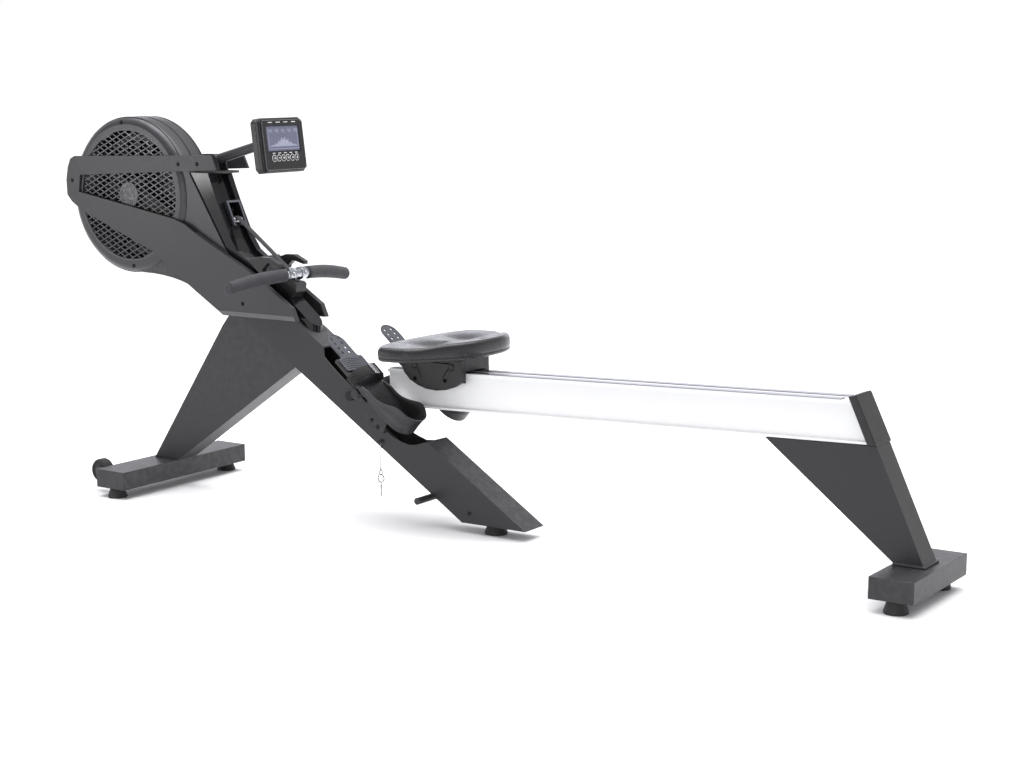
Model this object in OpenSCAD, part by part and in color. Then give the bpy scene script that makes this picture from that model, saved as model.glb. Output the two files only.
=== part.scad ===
// Rowing machine: air flywheel in front, folding rail with a rolling seat behind.
// +X runs from the flywheel to the rear foot, +Z is up, Y = 0 is the middle plane, the floor is Z = 0.

/* [Frame] */
// Half width of the main beam tube
beam_half = 41; // [36:1:44]
// Rise of the main beam for each unit of length
beam_slope = 0.655; // [0.63:0.005:0.68]
// Wall of the steel tubes
tube_wall = 3; // [2:0.5:4]
// Half length of the front stabilizer
front_half = 238; // [220:1:260]
// Half length of the rear stabilizer
rear_half = 151; // [140:1:170]
// Half length of the step bar under the beam
step_bar_half = 100; // [80:1:120]

/* [Flywheel] */
// Outer radius of the fan drum
drum_r = 206; // [200:1:207]
// Half width of the fan drum
drum_half = 57; // [56:0.5:58]
// Radius of the round grille
grille_r = 171; // [160:1:175]
// Outer radius of the flywheel
flywheel_r = 158; // [140:1:165]
// Number of fan blades on each side
blade_count = 18; // [12:1:24]
// Outer face of the side covers
cover_half = 66; // [64:0.5:68]

/* [Handle] */
// Radius of the handle grips
grip_r = 17; // [15:0.5:18]
// Half length of the handle
handle_half = 228; // [200:1:240]
// Width of the pull strap
strap_w = 18; // [14:1:22]

/* [Console] */
// Width of the console body
console_w = 168; // [150:1:180]
// Height of the console body
console_h = 138; // [130:1:144]
// Thickness of the console body
console_t = 38; // [34:1:42]
// Backward lean of the console
console_tilt = 7.4; // [4:0.1:12]
// Number of round keys
key_count = 6; // [4:1:6]

/* [Rail] */
// Rise of the rail towards the rear, in degrees
rail_tilt = 1.7; // [1.4:0.05:2]
// Height of the rail extrusion
rail_h = 92.6; // [88:0.2:96]
// Half width of the rail's flanges
rail_half = 36; // [34:0.5:37]
// Half width of the rail's web box
web_half = 29; // [28.5:0.5:30]

/* [Seat] */
// Radius of the seat rollers
roller_r = 15; // [13:0.5:15.5]
// Half width of the seat cushion
seat_half = 200; // [170:1:210]
// Thickness of the seat cushion
cushion_t = 34; // [28:1:38]

/* [Pedals] */
// Width of a foot plate
pedal_w = 94; // [84:1:94]
// Downward slope of the foot plates, in degrees
pedal_slope = 40.7; // [38:0.1:43]
// Length of a foot plate
pedal_len = 255; // [240:1:265]

/* [Hidden] */

$fn = 96;

charcoal = [0.16, 0.16, 0.17];
dark_plastic = [0.22, 0.22, 0.24];
gloss_black = [0.05, 0.05, 0.06];
rubber_black = [0.09, 0.09, 0.10];
steel = [0.62, 0.63, 0.65];
silver = [0.86, 0.87, 0.89];

// Main beam: both long edges share one slope, and the foot end is cut level with the floor
beam_z = 26;
beam_tip_x = 226;
beam_heel_x = 42;
beam_top_x = -700;
function beam_upper(x) = beam_z + (beam_tip_x - x) * beam_slope;
function beam_lower(x) = beam_z + (beam_heel_x - x) * beam_slope;

// Flywheel centre, strap reel centre, rail hinge and pedal pivot, as [x, z]
hub = [-1025, 781];
reel = [-770, 655];
rail_hinge = [-296, 306];
pedal_pivot = [-196, 336];
handle_at = [-500, 597];
roller_at = [-696.2, 724.4];
guide_r = 9;
arm_pivot = [-757, 880];
console_at = [-530, 923];
tilt_pin = [-48.5, 11];
arm_end = console_at + [tilt_pin[0] * cos(console_tilt) - tilt_pin[1] * sin(console_tilt),
    tilt_pin[0] * sin(console_tilt) + tilt_pin[1] * cos(console_tilt)];
wheel_at = [-1027, 57];
wheel_y = 180;
wheel_r = 31;
stab_front = [-993, -894];
stab_rear = [1144, 1245];
fork_out = 41;
fork_in = 35;
belt_y = [24, 32];
drive_r = 60;
flywheel_pulley_r = 20;
axle_r = 8;
run_gap = 0.05;

// The rail's own frame: origin under the rail at X = 0, X along the rail, Z up from its underside
rail_base_z = 297.4;
track_t = 2;
track_top = rail_h + track_t;
roller_z = track_top + roller_r + 0.3;
roller_x = [-80, 30];

// A flat outline in X and Z, pulled through from y0 to y1
module slab(y0, y1) {
    translate([0, y1, 0]) rotate([90, 0, 0]) linear_extrude(y1 - y0) children();
}

// The same slab on both sides of the middle plane
module both_slabs(y0, y1) {
    slab(y0, y1) children();
    slab(-y1, -y0) children();
}

// A round bar from one point to another
module rod(a, b, r) {
    d = b - a;
    len = norm(d);
    translate(a) rotate([0, acos(d[2] / len), atan2(d[1], d[0])]) cylinder(h = len, r = r);
}

// A round bar along Y through the point p = [x, z]
module cross_rod(p, y0, y1, r) {
    translate([p[0], y0, p[1]]) rotate([-90, 0, 0]) cylinder(h = y1 - y0, r = r);
}

module disc_at(p, r) {
    translate(p) circle(r = r);
}

// Corner i of an outline moved inwards by d; outlines run anticlockwise in X and Z
function inset_corner(pts, i, d) =
    let (n = len(pts), a = pts[(i + n - 1) % n], b = pts[i], c = pts[(i + 1) % n],
         u = (b - a) / norm(b - a), v = (c - b) / norm(c - b),
         nu = [-u[1], u[0]], nv = [-v[1], v[0]],
         k = d / (1 + nu * nv))
    b + (nu + nv) * k;
function inset_outline(pts, d) = [for (i = [0 : len(pts) - 1]) inset_corner(pts, i, d)];

// A band of thickness t that follows an open line of points
function line_normal(pts, i) =
    let (a = pts[max(i - 1, 0)], b = pts[min(i + 1, len(pts) - 1)], u = (b - a) / norm(b - a))
    [-u[1], u[0]];
function band(pts, t) = concat(
    [for (i = [0 : len(pts) - 1]) pts[i] - line_normal(pts, i) * t / 2],
    [for (i = [len(pts) - 1 : -1 : 0]) pts[i] + line_normal(pts, i) * t / 2]);

// A hollow tube with the given side outline; the ends named in open_pts are left open
module box_leg(outline, half, open_pts) {
    difference() {
        slab(-half, half) polygon(outline);
        slab(-half + tube_wall, half - tube_wall) union() {
            polygon(inset_outline(outline, tube_wall));
            polygon(open_pts);
        }
    }
}

// ---------------------------------------------------------------- main frame

step_bar_at = [-49, 78];
beam_outline = [[beam_heel_x, beam_z], [beam_tip_x, beam_z], [beam_top_x, beam_upper(beam_top_x)],
    [beam_top_x, beam_lower(beam_top_x)]];

// Round scoop cut out of the beam's top for the rail hinge
module beam_scoop() {
    polygon([[-379, beam_upper(-379) + 40], [-381, beam_upper(-381)], [-378, 398], [-366, 386],
        [-330, 356], [-290, 326], [-262, 305], [-238, 286], [-214, 256], [-188, 231], [-168, 217],
        [-146, 208], [-120, 200], [-97, 202], [-78, 208], [-60, beam_upper(-60)],
        [-60, beam_upper(-60) + 40]]);
}

module main_beam() color(charcoal) {
    // Step bar welded across the underside
    cross_rod(step_bar_at, -step_bar_half, step_bar_half, 8.5);
    difference() {
        slab(-beam_half, beam_half) polygon(beam_outline);
        slab(-beam_half + tube_wall, beam_half - tube_wall) union() {
            polygon(inset_outline(beam_outline, tube_wall));
            polygon([[beam_top_x - 1, beam_lower(beam_top_x) + 5],
                [beam_top_x + 5, beam_lower(beam_top_x + 5) + 5],
                [beam_top_x + 5, beam_upper(beam_top_x + 5) - 5],
                [beam_top_x - 1, beam_upper(beam_top_x) - 5]]);
        }
        slab(-beam_half - 1, beam_half + 1) beam_scoop();
        cross_rod(rail_hinge, -beam_half - 1, beam_half + 1, axle_r);
        translate([115, 0, beam_z - 1]) cylinder(h = tube_wall + 2, r = 5);
    }
}

leg_outline = [[-977, 74], [-893, 74], [-474, beam_lower(-474)], [-668, beam_lower(-668)],
    [-690, beam_lower(-668)], [-722, 452]];

module front_leg() color(charcoal)
    box_leg(leg_outline, 35, [[-660, beam_lower(-660) - 8], [-500, beam_lower(-500) - 8],
        [-500, beam_lower(-500) + 1], [-660, beam_lower(-660) + 1]]);

// Ears that hold a transport wheel in front of the stabilizer
module wheel_ears(y) {
    for (side = [-1, 1])
        difference() {
            slab(y + side * 15 - 1.5, y + side * 15 + 1.5) union() {
                disc_at(wheel_at, 12);
                polygon([[stab_front[0] + 1, 34], [stab_front[0] + 1, 70], wheel_at + [-4, 11],
                    wheel_at + [-6, -10]]);
            }
            cross_rod(wheel_at, y - 20, y + 20, 5);
        }
}

module stabilizer(x0, x1, z0, z1, half, studs) {
    difference() {
        translate([x0, -half, z0]) cube([x1 - x0, 2 * half, z1 - z0]);
        translate([x0 + 2.5, -half + 2.5, z0 + 2.5])
            cube([x1 - x0 - 5, 2 * half - 5, z1 - z0 - 5]);
        for (y = [-studs, studs])
            translate([(x0 + x1) / 2, y, z0 - 1]) cylinder(h = 5, r = 5);
    }
}

module front_stabilizer() color(charcoal) {
    stabilizer(stab_front[0], stab_front[1], 26, 74, front_half, 212);
    wheel_ears(-wheel_y);
    wheel_ears(wheel_y);
}

// Rubber foot: a truncated cone with a collar under the tube and a stud that goes into it
module rubber_foot(x, y, top_z, r) {
    translate([x, y, 0]) {
        cylinder(h = 3, r1 = r - 1.5, r2 = r);
        translate([0, 0, 3]) cylinder(h = top_z - 7, r1 = r, r2 = r - 7);
        translate([0, 0, top_z - 4]) cylinder(h = 4, r = r - 10);
        translate([0, 0, top_z]) cylinder(h = 2, r = 4.9);
    }
}

module front_feet() color(rubber_black) {
    front_x = (stab_front[0] + stab_front[1]) / 2;
    rubber_foot(front_x, -212, 26, 26);
    rubber_foot(front_x, 212, 26, 26);
    rubber_foot(115, 0, beam_z, 29);
}

// Bolt that the rail folds about
module hinge_bolt() {
    cross_rod(rail_hinge, -beam_half - 5, beam_half + 5, axle_r);
    cross_rod(rail_hinge, -beam_half - 6, -beam_half, 12);
    cross_rod(rail_hinge, beam_half, beam_half + 6, 12);
}

// Side plates that carry the pedals' pivot studs
module pedal_brackets() color(charcoal) {
    for (side = [-1, 1]) {
        plate = side > 0 ? [beam_half, beam_half + 6] : [-beam_half - 6, -beam_half];
        stud = side > 0 ? [beam_half + 6, 153] : [-153, -beam_half - 6];
        slab(plate[0], plate[1]) union() {
            polygon([[-252, 262], [-190, 222], [-176, 262], [-177, 336], [-215, 336], [-240, 296]]);
            disc_at(pedal_pivot, 19);
        }
        cross_rod(pedal_pivot, stud[0], stud[1], 6);
    }
}

// ---------------------------------------------------------------- flywheel end

module flywheel_fork() color(charcoal) {
    difference() {
        union() {
            both_slabs(fork_in, fork_out) difference() {
                union() {
                    disc_at(hub, 30);
                    polygon([hub + [-14, -27], [-772, 560], [beam_top_x, beam_lower(beam_top_x)],
                        [beam_top_x, beam_upper(beam_top_x)], [-742, 700], [-790, 700],
                        hub + [12, 27]]);
                }
                disc_at(hub, axle_r);
                disc_at(reel, axle_r);
            }
            slab(-fork_in, fork_in) polygon([[-712, 530], [beam_top_x, 526], [beam_top_x, 560],
                [-712, 560]]);
        }
    }
}

module drive_axles() color(steel) {
    cross_rod(hub, -fork_out - 5, fork_out + 5, axle_r);
    cross_rod(reel, -fork_out, fork_out, axle_r);
}

// Turns a profile of [radius, y] about the flywheel's axle
module turned(centre) {
    translate([centre[0], 0, centre[1]]) rotate([90, 0, 0]) rotate_extrude() children();
}

module blade(a, side) {
    translate([hub[0], 0, hub[1]]) rotate([0, a, 0]) translate([42, side > 0 ? 2 : -20, -1])
        rotate([0, -8, 0]) cube([106, 18, 2]);
}

module flywheel() color(steel) {
    difference() {
        union() {
            turned(hub) polygon([[axle_r + 1, -3], [flywheel_r - 14, -3], [flywheel_r - 14, -12],
                [flywheel_r, -12], [flywheel_r, 12], [flywheel_r - 14, 12], [flywheel_r - 14, 3],
                [axle_r + 1, 3]]);
            cross_rod(hub, -23, 23, 46);
            cross_rod(hub, 22, belt_y[1] + 1, flywheel_pulley_r - 1);
            cross_rod(hub, belt_y[0] - 1, belt_y[0], flywheel_pulley_r + 4);
            cross_rod(hub, belt_y[0], belt_y[1], flywheel_pulley_r);
            for (i = [0 : blade_count - 1], side = [-1, 1])
                blade(i * 360 / blade_count, side);
        }
        cross_rod(hub, -40, 40, 15);
    }
}

module flywheel_bearings() color(steel) {
    for (y0 = [-23, 22])
        difference() {
            cross_rod(hub, y0, y0 + 11, 15);
            cross_rod(hub, y0 - 1, y0 + 12, axle_r + run_gap);
        }
}

module drive_pulley() color(dark_plastic) {
    difference() {
        union() {
            cross_rod(reel, belt_y[0], belt_y[1], drive_r);
            cross_rod(reel, belt_y[0] - 2, belt_y[0], drive_r + 4);
            cross_rod(reel, 17, 34, 20);
        }
        cross_rod(reel, 10, 40, axle_r + run_gap);
        for (a = [0 : 60 : 300])
            cross_rod(reel + 39 * [cos(a), sin(a)], 10, 40, 12);
    }
}

module strap_reel() color(dark_plastic) {
    difference() {
        union() {
            cross_rod(reel, -11, 11, 34);
            cross_rod(reel, -14, -11, 46);
            cross_rod(reel, 11, 14, 46);
        }
        cross_rod(reel, -16, 16, axle_r + run_gap);
    }
}

// Outline of a belt around two pulleys, at a distance g outside them
module belt_outline(g) {
    d = norm(reel - hub);
    tilt = atan2(reel[1] - hub[1], reel[0] - hub[0]);
    lean = asin((drive_r - flywheel_pulley_r) / d);
    up = [cos(tilt + 90 + lean), sin(tilt + 90 + lean)];
    down = [cos(tilt - 90 - lean), sin(tilt - 90 - lean)];
    disc_at(hub, flywheel_pulley_r + g);
    disc_at(reel, drive_r + g);
    polygon([hub + up * (flywheel_pulley_r + g), hub + down * (flywheel_pulley_r + g),
        reel + down * (drive_r + g), reel + up * (drive_r + g)]);
}

module drive_belt() color(rubber_black)
    slab(belt_y[0] + 0.5, belt_y[1] - 0.5) difference() {
        belt_outline(2.6);
        belt_outline(0.4);
    }

// Half of the fan drum: a rounded rim, a flat ring round the grille and a flat panel behind it
module drum_half_shell() {
    h = drum_half;
    difference() {
        union() {
            turned(hub) polygon([[grille_r, h - 3], [drum_r - 22, h - 3], [drum_r - 10, h - 8],
                [drum_r - 4, h - 17], [drum_r - 3, h - 28], [drum_r - 3, 0], [drum_r, 0],
                [drum_r, h - 28], [drum_r - 1, h - 15], [drum_r - 6, h - 6], [drum_r - 14, h - 1],
                [drum_r - 20, h], [grille_r, h]]);
            slab(-50, -47) difference() {
                polygon([[-850, 852], [-816, 852], [-690, 650], [-672, 624], [-850, 600]]);
                disc_at(hub, drum_r - 2);
            }
        }
        translate([hub[0], 0, hub[1]]) rotate([0, 34, 0]) translate([150, -46.5, -95])
            cube([80, 93, 190]);
    }
}

module drum_shell_left() color(dark_plastic) drum_half_shell();

module drum_shell_right() color(dark_plastic) mirror([0, 1, 0]) drum_half_shell();

// Round grille of crossed bars with a rim
module grille() {
    h = drum_half;
    slab(-h + 3, -h + 5) {
        difference() {
            disc_at(hub, grille_r + 10);
            disc_at(hub, grille_r - 3);
        }
        intersection() {
            disc_at(hub, grille_r);
            union() {
                for (k = [-6 : 6])
                    translate(hub) rotate(38) translate([-grille_r, k * 26 - 2])
                        square([2 * grille_r, 4]);
                for (k = [-4 : 4])
                    translate(hub) rotate(-38) translate([-grille_r, k * 38 - 2])
                        square([2 * grille_r, 4]);
            }
        }
    }
}

module fan_grilles() color(rubber_black) {
    grille();
    mirror([0, 1, 0]) grille();
}

cover_outline = [[-1226, 757], [-1191, 735], [-934, 637], [-791, 545], [-690, 484], [-447, 484],
    [-462, 517], [-593, 599], [-721, 661], [-786, 694], [-819, 713], [-859, 726], [-1199, 784],
    [-1193, 830], [-705, 856], [-723, 893], [-1212, 880], [-1228, 872], [-1238, 850],
    [-1245, 815], [-1243, 775]];
cover_wall_outline = [[-800, 551], [-690, 484], [-447, 484], [-462, 517], [-593, 599],
    [-721, 661], [-786, 694]];

module side_cover() {
    slab(-cover_half, -cover_half + 6) polygon(cover_outline);
    slab(-cover_half + 6, -51) difference() {
        polygon(cover_wall_outline);
        polygon(inset_outline(cover_wall_outline, 3));
    }
}

module side_cover_left() color(dark_plastic) side_cover();

module side_cover_right() color(dark_plastic) mirror([0, 1, 0]) side_cover();

tower_outline = [[-700, 612], [-560, 520], [-600, 612], [-604, 622], [-632, 634], [-655, 650],
    [-677, 682], [-691, 710], [-704, 738], [-722, 777], [-738, 815], [-750, 846], [-812, 846],
    [-812, 700]];

// Glossy tower: two ridges with a valley between them where the strap comes out
module tower_cover() color(gloss_black) {
    difference() {
        union() {
            difference() {
                slab(-46, 46) polygon(tower_outline);
                slab(-43, 43) polygon([[-640, 560], [-609, 612], [-635, 631], [-658, 653],
                    [-680, 684], [-694, 711.5], [-707, 739.5], [-725, 778.5], [-741, 816],
                    [-752, 843], [-813, 843], [-813, 560]]);
            }
            slab(-31, 31) polygon(band([[-612, 606], [-640, 622], [-664, 642], [-688, 677],
                [-702, 706], [-715, 734], [-733, 773], [-749, 811], [-763, 843]], 3));
            both_slabs(28, 31) polygon([[-610, 604], [-609, 614], [-634, 632], [-657, 652],
                [-679, 683], [-693, 711], [-706, 739], [-724, 778], [-740, 816], [-751, 843],
                [-765, 843], [-751, 811], [-735, 773], [-717, 734], [-704, 706], [-690, 677],
                [-666, 641], [-641, 621]]);
        }
        slab(-28, 28) polygon([[-590, 600], [-612, 608], [-639, 624], [-662, 644], [-686, 679],
            [-700, 708], [-713, 736], [-731, 775], [-747, 813], [-759, 847], [-600, 847]]);
        translate([-700, 0, 743]) rotate([0, -23, 0]) cube([60, 40, 52], center = true);
        slab(-47, 47) polygon([[-700, 636], [-590, 561.4], [-540, 528.8], [-540, 500],
            [-820, 500], [-820, 690], [-742, 705]]);
    }
}

module fairlead_bezel() color(silver) difference() {
    translate([-698, 0, 745]) rotate([0, -23, 0]) difference() {
        translate([-16.5, -25.5, -36]) cube([21, 51, 68]);
        translate([-17, -19.5, -32]) cube([22, 39, 58]);
    }
    cross_rod(roller_at, -24, 24, 3);
}

module pod_cover() color(gloss_black)
    difference() {
        intersection() {
            translate([0, 0, 380]) linear_extrude(260) union() {
                translate([-450, 0]) circle(r = 27);
                translate([-604, -27]) square([154, 54]);
            }
            slab(-40, 40) polygon([[-571, beam_upper(-571) + 0.5], [-420, beam_upper(-420) + 0.5],
                [-420, 466], [-436, 480], [-598, 617]]);
        }
        slab(-24, 24) polygon([[-450, beam_upper(-450) - 2], [-450, 487], [-600, 614],
            [-600, beam_upper(-600) - 2]]);
    }

// Wishbone that holds the handle: two fingers over the grips and a lip under the clamp
module handle_cradle() color(rubber_black) {
    slab(-57, 57) polygon([[-602, 622], [-566, 592], [-556, 584], [-556, 598], [-566, 607],
        [-602, 637]]);
    both_slabs(41, 57) polygon([[-602, 622], [-566, 592], [-560, 612], [-544, 626], [-507, 617],
        [-507, 625], [-540, 640], [-567, 640], [-588, 633], [-602, 628]]);
    slab(-20, 20) polygon([[-562, 588], [-500, 536], [-484, 552], [-481, 572], [-488, 577],
        [-501, 579], [-513, 583], [-522, 592], [-545, 600], [-562, 602]]);
}

module console_bracket() color(rubber_black) {
    translate([-800, -28, 846]) cube([92, 56, 6]);
    both_slabs(13.5, 19) union() {
        polygon([[-778, 851], [-736, 851], [-744, 880], [-770, 880]]);
        disc_at(arm_pivot, 13);
    }
    cross_rod(arm_pivot, -19, 19, 6);
}

// Strap from the reel, over the guide roller and down to the handle
strap_line = [[-787.1, 686], [-701.2, 733.5], [-698, 734.6], [-695.5, 734.8], [-692.5, 734.1],
    [-690, 732.7], [-521, 606]];

module pull_strap() color(rubber_black)
    slab(-strap_w / 2, strap_w / 2) polygon(band(strap_line, 2.2));

module guide_roller() color(steel)
    difference() {
        cross_rod(roller_at, -16, 16, guide_r);
        cross_rod(roller_at, -17, 17, 3 + run_gap);
    }

// ---------------------------------------------------------------- fasteners

module pan_screw(p, y, side, r) {
    cross_rod(p, side > 0 ? y : y - 2, side > 0 ? y + 2 : y, r);
}

module cover_screws() color([0.03, 0.03, 0.03]) {
    for (side = [-1, 1]) {
        for (p = [[-1222, 814], [-834, 868], [-768, 870], [-623, 518]])
            pan_screw(p, side * cover_half, side, 5);
        for (p = [[-1042, 972], [-1012, 593]])
            pan_screw(p, side * drum_half, side, 5);
    }
}

module frame_bolts() color(steel) {
    hinge_bolt();
    for (side = [-1, 1]) {
        for (p = [[-226, 252], [-208, 236]])
            pan_screw(p, side * (beam_half + 6), side, 5);
        pan_screw([64, 51], side * beam_half, side, 5);
        cross_rod(wheel_at, side * wheel_y - 18, side * wheel_y + 18, 5);
    }
    // Shoulder screw that the lanyard hangs from
    cross_rod([-200, 201], -47, -beam_half, 2);
    cross_rod([-200, 201], -49, -47, 5);
    // Axle of the guide roller, held in the bezel's side walls
    cross_rod(roller_at, -24, 24, 3);
}

// ---------------------------------------------------------------- turning wheels

module transport_wheel(y) {
    difference() {
        translate([wheel_at[0], y + 13, wheel_at[1]]) rotate([90, 0, 0]) rotate_extrude()
            polygon([[4, 0], [12, 0], [13, 3], [23, 3], [25, 0], [29, 0.6], [wheel_r, 4],
                [wheel_r, 22], [29, 25.4], [25, 26], [23, 23], [13, 23], [12, 26], [4, 26]]);
        cross_rod(wheel_at, y - 20, y + 20, 5 + run_gap);
    }
}

module transport_wheel_left() color(rubber_black) transport_wheel(-wheel_y);

module transport_wheel_right() color(rubber_black) transport_wheel(wheel_y);

// ---------------------------------------------------------------- handle

bend_y = 38;
grip_end = [-524, handle_half, 577];
bar_bend = [handle_at[0], bend_y, handle_at[1]];
grip_dir = (grip_end - bar_bend) / norm(grip_end - bar_bend);

module mirrored_pair() {
    children();
    mirror([0, 1, 0]) children();
}

module handle_bar() color(steel) {
    cross_rod(handle_at, -bend_y, bend_y, 11);
    mirrored_pair() {
        translate(bar_bend) sphere(r = 11);
        rod(bar_bend, grip_end - 4 * grip_dir, 11);
    }
}

module handle_grips() color(rubber_black)
    mirrored_pair() difference() {
        rod(bar_bend + 6 * grip_dir, grip_end, grip_r);
        rod(bar_bend, grip_end - 4 * grip_dir, 11);
    }

module handle_clamp() color(silver) {
    difference() {
        union() {
            cross_rod(handle_at, -33, -13, 15);
            cross_rod(handle_at, 13, 33, 15);
            cross_rod(handle_at, -13, 13, 13);
            slab(-12, 12) polygon([[-519.5, 594], [-505, 586], [-505, 608], [-510, 610],
                [-519.5, 607]]);
        }
        cross_rod(handle_at, -34, 34, 11);
    }
}

// ---------------------------------------------------------------- console

module console_arm() color(rubber_black) {
    difference() {
        union() {
            cross_rod(arm_pivot, -13, 13, 13);
            rod([arm_pivot[0] + 6, 0, arm_pivot[1] + 1.6], [arm_end[0] - 12, 0, arm_end[1] - 3.1],
                12.5);
            slab(-9, 9) union() {
                disc_at(arm_end, 9);
                polygon([arm_end + [-20, -12], arm_end + [0, -9], arm_end + [0, 9],
                    arm_end + [-20, 6]]);
            }
        }
        cross_rod(arm_pivot, -20, 20, 6 + run_gap);
        cross_rod(arm_end, -20, 20, 4 + run_gap);
    }
}

// The console's own frame: X out of its face, Z up its face, origin in the middle of its face
module console_frame() {
    translate([console_at[0], 0, console_at[1]]) rotate([0, -console_tilt, 0]) children();
}

seam_x = -16;
screen_z = 16;
key_z = -33;
key_pitch = 17.4;
function key_y(i) = (i - (key_count - 1) / 2) * key_pitch;

// Outline of the console seen from the front, smaller by m all round
module console_face(m) {
    w = console_w / 2 - m;
    h = console_h / 2 - m;
    c = 9 - m / 3;
    polygon([[-w + c, -h], [w - c, -h], [w, -h + c], [w, h - c], [w - c, h], [-w + c, h],
        [-w, h - c], [-w, -h + c]]);
}

// Stands a shape drawn in Y and Z up against the plane X = x, and pulls it out by t
module facing(x, t) {
    translate([x, 0, 0]) rotate([90, 0, 90]) linear_extrude(t) children();
}

module console_back() color(rubber_black)
    console_frame() {
        difference() {
            union() {
                facing(seam_x - 16, 16) console_face(0);
                facing(-console_t, console_t + seam_x - 15.9) console_face(7);
            }
            facing(-console_t + 3, console_t + seam_x) console_face(10);
        }
        for (s = [-1, 1])
            translate([tilt_pin[0] - 7.5, s * 12.5 - 3, tilt_pin[1] - 10])
                cube([8 - console_t - tilt_pin[0], 6, 20]);
        translate([tilt_pin[0], 0, tilt_pin[1]]) cross_pin();
    }

// Pin of the console's tilt hinge, on the arm's end
module cross_pin() {
    rotate([90, 0, 0]) cylinder(h = 31, r = 4, center = true);
}

module console_front() color(rubber_black)
    console_frame() difference() {
        union() {
            facing(seam_x, 8) console_face(0);
            facing(seam_x + 7.9, 4.1) console_face(3);
            facing(seam_x + 11.9, 4.1) console_face(7);
        }
        facing(seam_x - 1, 13) console_face(10);
        facing(-8, 10) translate([-62, screen_z - 32]) square([124, 64]);
        for (i = [0 : key_count - 1])
            facing(-8, 10) translate([key_y(i), key_z]) circle(r = 7.2);
    }

module console_screen() color([0.45, 0.46, 0.55])
    console_frame() facing(-4.5, 3) translate([-61.5, screen_z - 31.5]) square([123, 63]);

module console_key(i) {
    if (i < key_count)
        console_frame() facing(-6, 7.5) translate([key_y(i), key_z]) circle(r = 6.8);
}

module console_key_1() color(dark_plastic) console_key(0);

module console_key_2() color(dark_plastic) console_key(1);

module console_key_3() color(dark_plastic) console_key(2);

module console_key_4() color(dark_plastic) console_key(3);

module console_key_5() color(dark_plastic) console_key(4);

module console_key_6() color(dark_plastic) console_key(5);

// ---------------------------------------------------------------- pedals

// The pedal's own frame: X down the foot plate, Z out of it, Y = 0 in the pedal's middle
pedal_top = [-248, 416];
pedal_y = 108;
module pedal_frame(side) {
    translate([pedal_top[0], side * pedal_y, pedal_top[1]]) rotate([0, pedal_slope, 0]) children();
}
function pedal_local(p) =
    let (d = p - pedal_top)
    [d[0] * cos(pedal_slope) - d[1] * sin(pedal_slope),
     d[0] * sin(pedal_slope) + d[1] * cos(pedal_slope)];
pivot_local = pedal_local(pedal_pivot);
heel_r = pedal_w / 2;

// Foot plate seen from above, smaller by m at the heel and the sides
module pedal_plan(m) {
    translate([pedal_len - heel_r, 0]) circle(r = heel_r - m);
    translate([0, -heel_r + m]) square([pedal_len - heel_r, pedal_w - 2 * m]);
}

module pedal(side) {
    pedal_frame(side) difference() {
        union() {
            translate([0, 0, -10]) linear_extrude(10) pedal_plan(0);
            difference() {
                translate([0, 0, -1]) linear_extrude(51) difference() {
                    pedal_plan(0);
                    pedal_plan(4);
                    translate([-1, -60]) square([150, 120]);
                }
                translate([148, -60, 0]) rotate([0, -38, 0]) cube([140, 120, 90]);
            }
            translate([pivot_local[0], -heel_r + 2, pivot_local[1]]) rotate([-90, 0, 0])
                cylinder(h = pedal_w - 4, r = 12);
            translate([pivot_local[0] - 10, -heel_r + 8, pivot_local[1]])
                cube([20, pedal_w - 16, -pivot_local[1] - 5]);
        }
        translate([pivot_local[0], -heel_r - 5, pivot_local[1]]) rotate([-90, 0, 0])
            cylinder(h = pedal_w + 10, r = 6 + run_gap);
    }
}

// Adjustable toe piece: a tongue with two rows of slots and a wide ribbed pad
module toe_slider(side) {
    pedal_frame(side) {
        translate([0, 0, 1]) linear_extrude(4) difference() {
            union() {
                translate([-45, 0]) circle(r = 30);
                translate([-45, -30]) square([50, 60]);
                translate([2, -heel_r + 3]) square([42, pedal_w - 6]);
            }
            for (i = [0 : 2], y = [-13, 13])
                translate([-58 + i * 20, y - 4]) square([9, 8]);
        }
        for (i = [0 : 4])
            translate([7 + i * 8, -heel_r + 6, 4.9]) cube([3, pedal_w - 12, 1.6]);
    }
}

// Strap over the foot: an arch from one edge of the plate to the other
strap_rise = 27;
function arch(r, h) = [for (a = [0 : 15 : 180]) [r * cos(a), 1 + h * pow(sin(a), 0.7)]];
module foot_strap(side) {
    pedal_frame(side) translate([54, 0, 0]) rotate([90, 0, 90]) linear_extrude(30)
        polygon(concat([[heel_r + 3.2, -14]], arch(heel_r + 3.2, strap_rise),
            [[-heel_r - 3.2, -14], [-heel_r - 0.4, -14]],
            [for (p = arch(heel_r + 0.4, strap_rise - 3)) [-p[0], p[1]]],
            [[heel_r + 0.4, -14]]));
}

module left_pedal() color(rubber_black) pedal(-1);

module right_pedal() color(rubber_black) pedal(1);

module left_toe_slider() color(dark_plastic) toe_slider(-1);

module right_toe_slider() color(dark_plastic) toe_slider(1);

module left_foot_strap() color(rubber_black) foot_strap(-1);

module right_foot_strap() color(rubber_black) foot_strap(1);

// ---------------------------------------------------------------- rail

module rail_frame() {
    translate([0, 0, rail_base_z]) rotate([0, -rail_tilt, 0]) children();
}

rail_front = -180;
cap_lean = 0.47;
cap_front = 1087;
flange_t = 8;

// Cross section of the rail: a web box between two flanges, hollow inside
module rail_section() {
    difference() {
        union() {
            translate([-web_half, 0]) square([2 * web_half, rail_h]);
            translate([-rail_half, rail_h - flange_t]) square([2 * rail_half, flange_t]);
            translate([-rail_half, 0]) square([2 * rail_half, 6]);
        }
        translate([-web_half + 3, 4]) square([2 * web_half - 6, rail_h - flange_t - 4]);
    }
}

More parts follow.
